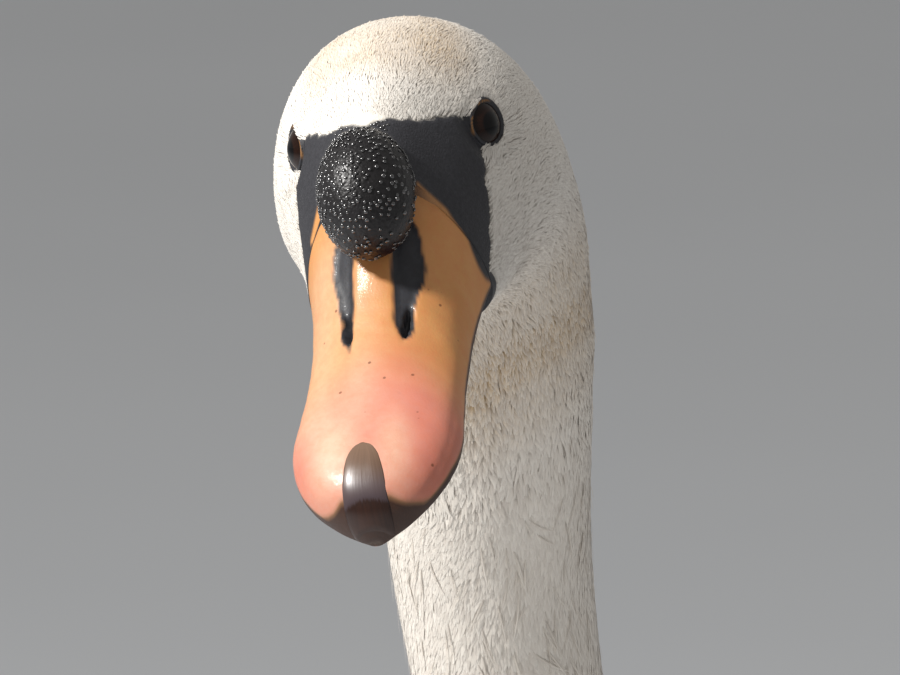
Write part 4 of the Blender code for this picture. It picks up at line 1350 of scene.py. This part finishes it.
def clear_roots(roots, dice):
    """Roots that are clear of bare skin, of the eyes' openings and of the knob. Some are kept along the edge
    of the bare skin, so that it is ragged."""
    place = body.read(*roots)[0]
    tip = body.read(*body.walk(*roots, 0.0, tuft_sizes(roots[0])[0] * 0.9))[0]
    eye = np.minimum(lid_distance(place, 1), lid_distance(place, -1))
    eye_at_tip = np.minimum(lid_distance(tip, 1), lid_distance(tip, -1))
    bare = bareness(place)
    edge = np.interp(bare, [0.3, 0.5, 0.98], [1.0, 0.4, 0.0]) > dice.random(len(bare))
    free = edge & (eye > 0.35) & (eye_at_tip > 0.15) & (knob_distance(place) > -0.5)
    return roots[:, free], bare[free]


for seed, (name, (span, turn)) in enumerate(HEAD_PIECES.items()):
    dice = np.random.default_rng(200 + seed)
    roots, bare = clear_roots(rooted(body, span, turn, tuft_sizes, TUFT_GAPS, 100 + seed), dice)
    places = body.read(*roots)[0]
    clump = 0.30 * waves(places, 0.0035, 1.0) + 0.22 * waves(places, 0.0012, 2.0)
    lengths, widths = tuft_sizes(roots[0])
    size = lengths * (1 - 0.55 * bare), widths * np.interp(roots[0], NAPE_SPAN, (1, NAPE_OVERLAP))
    strays = np.where(dice.random(len(lengths)) < STRAY_SHARE, 2.5, 1.0)
    plant(
        name, body, roots, TUFT, size, tuft_finish, rise=0.06 * lengths * strays, outline=TUFT_OUTLINE,
        depth=coat_depth(roots[0]) * np.interp(roots[0], NAPE_SPAN, ROOT_DEPTHS), cup=0.1,
        heading=clump + dice.uniform(-0.16, 0.16, len(lengths)), roll=0.12, crown=0.10, tilt=0.045,
        uneven=0.3, span=span, seed=300 + seed, settled=over_lids,
    )


# ---- Neck coat ----
# Soft short feathers down the long neck, damp and hair-like at its upper part and broader towards the
# breast, all pointing down and lying over one another, with their tips just free.

NECK_PIECES = {"upper_neck_feathers": (11.0, 14.5), "lower_neck_feathers": (14.5, 19.3)}
neck_sizes = sized(
    [6, 11, 13, 15, 17, 19.5], [3.0, 5.0, 7.5, 10.0, 14.0, 20.0], [0.48, 0.78, 1.0, 1.55, 3.6, 9.0]
)
NECK_GAPS = (0.20, 0.62)
NECK_OVERLAP = 1.35  # of a feather's width to its place in the row
NECK_OUTLINE = ([0, 0.4, 0.75, 1.0], [0.7, 1.0, 0.8, 0.18])
NECK_ROOT = 0.45  # of the coat's depth
NECK_CLUMP = (0.014, 4.0)

for seed, (name, span) in enumerate(NECK_PIECES.items()):
    roots = rooted(body, span, (0.0, TURN), neck_sizes, NECK_GAPS, 400 + seed)
    dice = np.random.default_rng(500 + seed)
    lengths, widths = neck_sizes(roots[0])
    strays = np.where(dice.random(len(lengths)) < STRAY_SHARE, 2.0, 1.0)
    clump = 0.20 * waves(body.read(*roots)[0], *NECK_CLUMP)
    plant(
        name, body, roots, blade_points(3, 2 if seed else 1), (lengths, widths * NECK_OVERLAP), tuft_finish,
        depth=coat_depth(roots[0]) * NECK_ROOT, rise=0.028 * lengths * strays, outline=NECK_OUTLINE, cup=0.08,
        heading=clump + dice.uniform(-0.16, 0.16, len(lengths)), curl=0.15, roll=0.06, crown=0.08,
        tilt=0.035, uneven=0.3, span=span, seed=600 + seed,
    )


# ---- Neck down ----
# The dense soft down under the neck's outer feathers: short broad tufts that lie just below them, rooted in
# the same skin, and close the coat so that no gap reaches down to the skin.

DOWN_BELOW = 0.35 * MM
DOWN_SPAN = (6.4, 19.3)
DOWN_GAPS = (0.30, 1.15)
DOWN_OUTLINE = ([0, 0.5, 1.0], [0.8, 1.0, 0.5])
DOWN_OVERLAP = 2.6
roots = rooted(body, DOWN_SPAN, (0.0, TURN), neck_sizes, DOWN_GAPS, 640)
lengths, widths = neck_sizes(roots[0])
plant(
    "neck_down", body, roots, TUFT, (lengths, widths * DOWN_OVERLAP), tuft_finish,
    depth=coat_depth(roots[0]) * NECK_ROOT, rise=0.02 * lengths, outline=DOWN_OUTLINE,
    heading=0.20 * waves(body.read(*roots)[0], *NECK_CLUMP), crown=0.04, tilt=0.03, span=DOWN_SPAN, seed=641,
    extra=-DOWN_BELOW,
)


# ---- Neck strands ----
# Single barbs and thin wet wisps that stand a little free of the upper neck's coat and catch the light.

STRANDS = 520
STRAND_LENGTH = 10.5 * MM
STRAND_WIDTH = 0.42 * MM
STRAND_OUTLINE = ([0, 0.3, 0.7, 1.0], [0.5, 1.0, 0.7, 0.15])
dice = np.random.default_rng(650)
roots = np.stack((dice.uniform(11.2, 14.6, STRANDS), dice.uniform(0.0, TURN, STRANDS)))
size = np.full(STRANDS, STRAND_LENGTH), np.full(STRANDS, STRAND_WIDTH)
plant(
    "neck_strands", body, roots, blade_points(5, 1), size, tuft_finish, depth=0.4 * MM, rise=0.7 * MM,
    outline=STRAND_OUTLINE,
    heading=0.25 * waves(body.read(*roots)[0], *NECK_CLUMP) + dice.uniform(-0.3, 0.3, STRANDS),
    curl=dice.uniform(-0.5, 0.5, STRANDS), crown=0.3, tilt=0.05, uneven=0.4, span=(11.0, 15.0), seed=651,
    extra=0.35 * MM,
)


# ---- Body coat ----
# The breast, back, belly and rump: broad rounded contour feathers that overlap like tiles, each over the
# next one back. They grow from the skin and lie close, and there are none under the folded wings.

body_finish = feather_finish("contour_feather", 0.8 * MM, 0.3)
CONTOUR = blade_points(5, 4)
CONTOUR_OUTLINE = ([0, 0.3, 0.6, 0.8, 0.92, 1.0], [0.62, 0.9, 1.0, 0.92, 0.66, 0.16])
body_sizes = sized([19.0, 22, 26, 30, 32, 33.5], [20, 27, 34, 40, 46, 52], [10, 15, 19, 21, 24, 26])
BODY_GAPS = (0.25, 0.52)
UNDER_WING = 24 * MM  # how far under a folded wing's edge they still grow
BODY_PIECES = {
    "breast_feathers": ((19.3, 23.0), (0.0, TURN)),
    "back_and_belly_feathers": ((23.0, 30.6), (0.0, TURN)),
    "rump_feathers": ((30.6, 33.4), (0.0, TURN)),
}
wing_line = along(WING, np.linspace(0, len(WING) - 1, 400))


def under_wing(points, margin):
    """Whether places lie inside a folded wing, drawn in by a margin."""
    x, y, z = np.abs(points[..., 0]), points[..., 1], points[..., 2]
    upper_x, upper_z, lower_x, lower_z, outwards = (
        np.interp(y, wing_line[:, 0], wing_line[:, k]) for k in range(1, 6)
    )
    chord_x, chord_z = lower_x - upper_x, lower_z - upper_z
    chord = np.hypot(chord_x, chord_z)
    share = ((x - upper_x) * chord_x + (z - upper_z) * chord_z) / chord**2
    out = (-(x - upper_x) * chord_z + (z - upper_z) * chord_x) / chord
    full = np.sqrt(np.clip(1 - (2 * share - 1) ** 2, 0, 1))
    inside = (share > margin / chord) & (share < 1 - margin / chord) & (out < outwards * full - margin)
    return inside & (out > -0.05) & (y > WING[0, 0] + margin) & (y < WING[-1, 0])


for seed, (name, (span, turn)) in enumerate(BODY_PIECES.items()):
    roots = rooted(body, span, turn, body_sizes, BODY_GAPS, 700 + seed)
    roots = roots[:, ~under_wing(body.read(*roots)[0], UNDER_WING)]
    dice = np.random.default_rng(800 + seed)
    heading = 0.12 * waves(body.read(*roots)[0], 0.06, 4.0) + dice.uniform(-0.10, 0.10, len(roots[0]))
    plant(
        name, body, roots, CONTOUR, body_sizes(roots[0]), body_finish, depth=coat_depth(roots[0]) * 0.55,
        rise=0.0015, outline=CONTOUR_OUTLINE, cup=0.06, heading=heading, roll=0.05, crown=0.13, tilt=0.035,
        uneven=0.14, span=span, seed=900 + seed,
    )


# ---- Wings ----
# Folded against the flanks and arched over the back: small feathers along the front of each wing, then
# longer and broader rows of coverts, and at the rear the long stiff feathers of the forearm, whose ends lie
# over the tail.

wing_finish = feather_finish("flight_feather", 1.1 * MM, 0.3)
wing_sizes = sized([0, 1, 2, 4, 6, 7.5, 9.5], [14, 20, 27, 38, 54, 70, 74], [9, 13, 17, 23, 29, 34, 34])
COVERT_SPAN = (0.03, 6.4)
COVERT_GAPS = (0.27, 0.52)
FOREARM_ROWS = ((5.9, 86), (6.5, 150), (7.5, 140), (8.5, 112))  # place along, and length in millimetres
FOREARM_REACH = ([0, 0.8, 1.6, 2.4, 3.1], [1.24, 1.16, 1.02, 0.90, 0.80])  # by the angle from the upper edge
FOREARM_WIDTH = 34 * MM
FOREARM_COUNT = 17  # in a row
FOREARM_STAGGER = (0.09, 6.5)  # a row's shift round for each step along, and the place with no shift
FOREARM_SLANT = (0.32, 1.4)  # a root's shift along for each step round, and the angle with no shift
COVERT_OUTLINE = ([0, 0.25, 0.6, 0.82, 0.93, 1.0], [0.6, 0.85, 1.0, 0.94, 0.7, 0.14])
LONG_FEATHER = blade_points(9, 4)
LONG_OUTLINE = ([0, 0.2, 0.6, 0.85, 0.95, 1.0], [0.35, 0.8, 1.0, 0.9, 0.6, 0.12])

for side, name in ((1, "left"), (-1, "right")):
    wing = wings[side]
    roots = rooted(wing, COVERT_SPAN, (-0.35, math.pi + 0.45), wing_sizes, COVERT_GAPS, 1000 + side)
    dice = np.random.default_rng(1100 + side)
    heading = 0.06 * waves(wing.read(*roots)[0], 0.08, 6.0) + dice.uniform(-0.05, 0.05, len(roots[0]))
    plant(
        f"wing_coverts_{name}", wing, roots, CONTOUR, wing_sizes(roots[0]), wing_finish, depth=0.0055,
        rise=0.0014, outline=COVERT_OUTLINE, cup=0.06, heading=heading, roll=0.04, crown=0.14, tilt=0.03,
        uneven=0.08, span=(0.0, 9.0), seed=1200 + side,
    )
    spots = np.linspace(-0.05, math.pi + 0.1, FOREARM_COUNT)
    roots = np.array([
        (at, angle + FOREARM_STAGGER[0] * (at - FOREARM_STAGGER[1]))
        for at, _ in FOREARM_ROWS for angle in spots
    ]).T
    reach = np.repeat([length * MM for _, length in FOREARM_ROWS], len(spots))
    roots[0] += FOREARM_SLANT[0] * (FOREARM_SLANT[1] - roots[1]) + dice.uniform(-0.10, 0.10, len(reach))
    reach *= np.interp(roots[1], *FOREARM_REACH)
    later = np.argsort(-roots[0], kind="stable")
    roots, reach = roots[:, later], reach[later]
    size = reach, np.full(len(reach), FOREARM_WIDTH)
    plant(
        f"forearm_feathers_{name}", wing, roots, LONG_FEATHER, size, wing_finish, depth=0.0015, rise=0.0016,
        outline=LONG_OUTLINE, cup=0.05, roll=0.05, crown=0.26, tilt=0.03, uneven=0.07,
        heading=dice.uniform(-0.03, 0.03, len(reach)), span=(5.0, 11.0), seed=1300 + side,
    )


# ---- Scapulars ----
# The shoulders' broad soft feathers, which lie over the inner edges of both folded wings and close the back
# between them. They grow longer towards the rear.

MANTLE = np.array([  # y, height and half width
    body_row((y, z), (y, z - 0.012), half, 0.5, 3.0, 2.0) for y, z, half in (
        (-0.148, 0.329, 0.026), (-0.125, 0.328, 0.028), (-0.100, 0.3335, 0.030), (-0.050, 0.351, 0.032),
        (0.000, 0.370, 0.034), (0.060, 0.384, 0.035), (0.120, 0.387, 0.035), (0.180, 0.384, 0.034),
        (0.240, 0.372, 0.032), (0.300, 0.352, 0.030), (0.350, 0.333, 0.028), (0.400, 0.312, 0.026),
        (0.440, 0.293, 0.024), (0.475, 0.276, 0.022),
    )
])
scapular_sizes = sized([0, 5, 7, 10, 12], [24, 40, 55, 78, 88], [15, 21, 25, 28, 28])
SCAPULAR_SPAN = (0.0, 11.6)
SCAPULAR_GAPS = (0.22, 0.42)


def plain_form(rows, columns):
    """The outer form of a layer of feathers that doesn't turn with the head, from cross-sections."""
    return Surface(lambda at, angle: round_section(along(rows, at), angle), len(rows) - 1, 24, columns)


mantle = plain_form(MANTLE, 96)
roots = rooted(mantle, SCAPULAR_SPAN, (-1.3, 1.3), scapular_sizes, SCAPULAR_GAPS, 1350)
dice = np.random.default_rng(1351)
later = np.argsort(-roots[0], kind="stable")
roots = roots[:, later]
plant(
    "scapular_feathers", mantle, roots, LONG_FEATHER, scapular_sizes(roots[0]), wing_finish, depth=0.004,
    rise=0.0016, outline=COVERT_OUTLINE, cup=0.05, roll=0.04, crown=0.15, tilt=0.03, uneven=0.08,
    heading=0.2 * roots[1] + dice.uniform(-0.08, 0.08, len(roots[0])), span=(0.0, 11.7), seed=1352,
)


# ---- Primaries ----
# The folded hand's long narrow feathers, white and stiff with strong shafts, which come out from under the
# wing's rear edge and cross above the tail, each a little shorter than the one inside it.

PRIMARIES = np.array([
    (0.300, 0.070, 0.272, 0.118, 0.196, 0.020, 0.006),
    (0.350, 0.044, 0.282, 0.098, 0.206, 0.018, 0.006),
    (0.400, 0.021, 0.284, 0.070, 0.219, 0.013, 0.005),
    (0.450, 0.013, 0.275, 0.046, 0.235, 0.005, 0.003),
    (0.485, 0.008, 0.266, 0.034, 0.240, 0.003, 0.002),
    (0.510, 0.005, 0.260, 0.026, 0.243, 0.002, 0.002),
])
PRIMARY_LENGTHS = (0.205, 0.195, 0.182, 0.168, 0.152, 0.136, 0.120)
PRIMARY_WIDTH = 0.021
PRIMARY_PLACES = ((0.25, 0.06), (0.55, 0.30))  # the inmost one's, along and round, and the step to the next
PRIMARY_STACK = 0.003  # from the lowest to the highest
PRIMARY_OUTLINE = ([0, 0.2, 0.5, 0.75, 0.9, 1.0], [0.35, 0.8, 1.0, 0.8, 0.5, 0.1])

for side, name in ((1, "left"), (-1, "right")):
    hand = folded_form(PRIMARIES, side, 96)
    count = len(PRIMARY_LENGTHS)
    roots = np.array([start + step * np.arange(count) for start, step in PRIMARY_PLACES])
    size = np.array(PRIMARY_LENGTHS), np.full(count, PRIMARY_WIDTH)
    outer = plant(
        f"primaries_{name}", hand, roots, LONG_FEATHER, size, wing_finish, depth=0.003, rise=0.001,
        outline=PRIMARY_OUTLINE, cup=0.08, crown=0.2, tilt=0.03, uneven=0.0, span=(0.0, 2.0),
        seed=1400 + side, extra=np.linspace(0.0, PRIMARY_STACK, count)[:, None],
    )
    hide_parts(f"primaries_{name}")


# ---- Tail ----
# A short rounded fan of stiff feathers, folded over one another with the middle ones on top, laid over the
# tail's upper and its lower side.

TAIL_FEATHERS = 9  # on each side of the middle, above and below
TAIL_REACH = 0.160
TAIL_WIDTH = 0.024
TAIL_ROUNDING = 0.26  # how much shorter the outermost feathers are
TAIL_SPREAD = (0.86, 1.2)  # how far aside the outermost ones stand, and how closely the middle ones
TAIL_STACK = (-0.003, 0.002)  # from the outermost feathers up to the middle one
FAN = np.array([
    body_row((0.368, 0.248), (0.372, 0.226), 0.054, 0.5, 2.4, 2.4),
    body_row((0.410, 0.234), (0.413, 0.213), 0.064, 0.5, 2.4, 2.4),
    body_row((0.450, 0.2275), (0.452, 0.2120), 0.071, 0.5, 2.4, 2.4),
    body_row((0.490, 0.2260), (0.491, 0.2150), 0.075, 0.5, 2.4, 2.4),
    body_row((0.530, 0.2280), (0.530, 0.2210), 0.077, 0.5, 2.4, 2.4),
    body_row((0.560, 0.2300), (0.560, 0.2255), 0.077, 0.5, 2.4, 2.4),
])
tail_fan = plain_form(FAN, 192)
fan = np.linspace(-1, 1, 2 * TAIL_FEATHERS + 1)
order = np.argsort(-np.abs(fan))
turned = np.sign(fan) * np.arcsin(np.abs(fan * TAIL_SPREAD[0]) ** TAIL_SPREAD[1])
above = np.stack((np.full(fan.shape, 0.05), turned))[:, order]
below = np.stack((np.full(fan.shape, 0.05), math.pi + turned))[:, order]
reach = TAIL_REACH * (1 - TAIL_ROUNDING * fan[order] ** 2)
tail_feathers = plant(
    "tail_feathers", tail_fan, np.concatenate((above, below), 1), LONG_FEATHER,
    (np.tile(reach, 2), np.full(2 * len(fan), TAIL_WIDTH)), wing_finish, depth=0.002, rise=0.0008,
    outline=LONG_OUTLINE, cup=0.04, crown=0.24, tilt=0.03, uneven=0.04, span=(0.0, 5.0), seed=1500,
    extra=np.tile(np.linspace(*TAIL_STACK, len(fan)), 2)[:, None],
)
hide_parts("tail")


# ---- Claws ----
# A short blunt claw of grey-black horn at the end of each of the three front toes, growing out of the toe's
# skin and curving down to the floor.

CLAW_LENGTH = 11.0 * MM
CLAW_HALF = 2.6 * MM

# Dull horn, worn at the tip and streaked along its length.
claw_finish, tree, shader = new_finish("claw_horn", Roughness=0.38, IOR=1.54)
place = add(tree, "TexCoord", output=3)
streaks = add(tree, "Mapping", {"Vector": place, "Scale": (900.0, 120.0, 900.0)})
streaks = noise(tree, streaks, 1.0, 3.0)
horn = mixed(tree, streaks, "#1B1918", "#4B4540")
tree.links.new(horn, shader.inputs["Base Color"])
relief(tree, shader, streaks, 0.3, 0.2 * MM)


def claw_place(at, angle, side, across):
    """A claw from inside its toe (at 0) to its tip (at 1)."""
    tip = foot_place(np.array(across), np.array(1.0), side)
    ahead = np.array((side * math.sin(TOE_SPREAD * across), -math.cos(TOE_SPREAD * across)))
    size = CLAW_HALF * (1 - at**2.2) + 0.25 * MM
    reach = (at - 0.55) * CLAW_LENGTH
    x = tip[0] + ahead[0] * reach - ahead[1] * size * 0.8 * np.sin(angle)
    y = tip[1] + ahead[1] * reach + ahead[0] * size * 0.8 * np.sin(angle)
    z = FLOOR + 0.3 * MM + size + 0.6 * MM * (1 - at) + size * np.cos(angle)
    return np.stack((x, y, np.maximum(z, FLOOR + 0.1 * MM)), -1)


for side, name in ((1, "left"), (-1, "right")):
    joined = bmesh.new()
    for across in (-1.0, 0.0, 1.0):
        claw = wrapped_grid(
            lambda at, angle, side=side, across=across: claw_place(at, angle, side, across),
            np.linspace(0, 1, 14),
            20,
        )
        part = bpy.data.meshes.new("claw")
        claw.to_mesh(part)
        claw.free()
        joined.from_mesh(part)
        bpy.data.meshes.remove(part)
    claws = add_piece(f"claws_{name}", joined, (claw_finish,))
    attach(claws, "root")


# ---- Floor, light and camera ----
# A plain pale studio floor that runs far back, one strong soft light high on the bird's right, a broad weak
# one overhead for the body, and an even pale surround. The camera is a long lens, a little above the eyes.

FLOOR_BELOW = 0.5 * MM  # so that it and the soles don't lie in one plane

floor_finish, tree, shader = new_finish("studio_floor", Roughness=0.9)
place = add(tree, "TexCoord", output=3)
speckle = noise(tree, place, 0.6, 2.0)
pale = mixed(tree, speckle, "#D8DBDF", "#DEE1E5")
tree.links.new(pale, shader.inputs["Base Color"])
bm = bmesh.new()
bmesh.ops.create_circle(bm, cap_ends=True, segments=96, radius=30.0)
for vertex in bm.verts:
    vertex.co.z = FLOOR - FLOOR_BELOW
floor = add_piece("studio_floor", bm, (floor_finish,), smooth=False)

scene = bpy.context.scene
scene.world = bpy.data.worlds.new("surround")
scene.world.use_nodes = True
surround = scene.world.node_tree.nodes["Background"]
surround.inputs["Color"].default_value = linear("#EFEDEA")
surround.inputs["Strength"].default_value = 0.38


def add_light(name, spot, aim, size, power, colour):
    """A square soft light that the camera doesn't see."""
    lamp = bpy.data.lights.new(name, "AREA")
    lamp.shape, lamp.size, lamp.energy, lamp.color = "SQUARE", size, power, colour
    made = bpy.data.objects.new(name, lamp)
    made.location = spot
    made.rotation_euler = (mathutils.Vector(aim) - mathutils.Vector(spot)).to_track_quat("-Z", "Y").to_euler()
    made.visible_camera = False
    made.visible_glossy = name == "key"
    bpy.context.scene.collection.objects.link(made)


middle = mathutils.Vector(head_place(0.0, 0.0))
key_spot = middle + mathutils.Vector((-1.38, -0.72, 1.2))
add_light("key", key_spot, middle, size=0.24, power=60.0, colour=(1.0, 0.98, 0.95))
add_light("overhead", (-0.6, 0.7, 3.2), (0.0, 0.1, 0.2), size=2.4, power=26.0, colour=(1.0, 0.99, 0.97))

VIEW_DOWN = math.radians(8.0)
VIEW_DISTANCE = 3.0
VIEW_WIDTH = 202.5 * MM  # of what shows at the head
VIEW_MIDDLE = (13.05 * MM, -45.5625 * MM)  # right of and above the point between the eyes
lens = bpy.data.cameras.new("long_lens")
lens.sensor_width = 36.0
lens.lens = lens.sensor_width * VIEW_DISTANCE / VIEW_WIDTH
lens.clip_end = 200.0
camera = bpy.data.objects.new("camera", lens)
ahead = mathutils.Vector((0.0, math.cos(VIEW_DOWN), -math.sin(VIEW_DOWN)))
upright = mathutils.Vector((0.0, math.sin(VIEW_DOWN), math.cos(VIEW_DOWN)))
aim = middle + mathutils.Vector((VIEW_MIDDLE[0], 0, 0)) + upright * VIEW_MIDDLE[1]
camera.location = aim - ahead * VIEW_DISTANCE
camera.rotation_euler = ahead.to_track_quat("-Z", "Y").to_euler()
scene.collection.objects.link(camera)
scene.camera = camera
scene.view_settings.view_transform = "Standard"
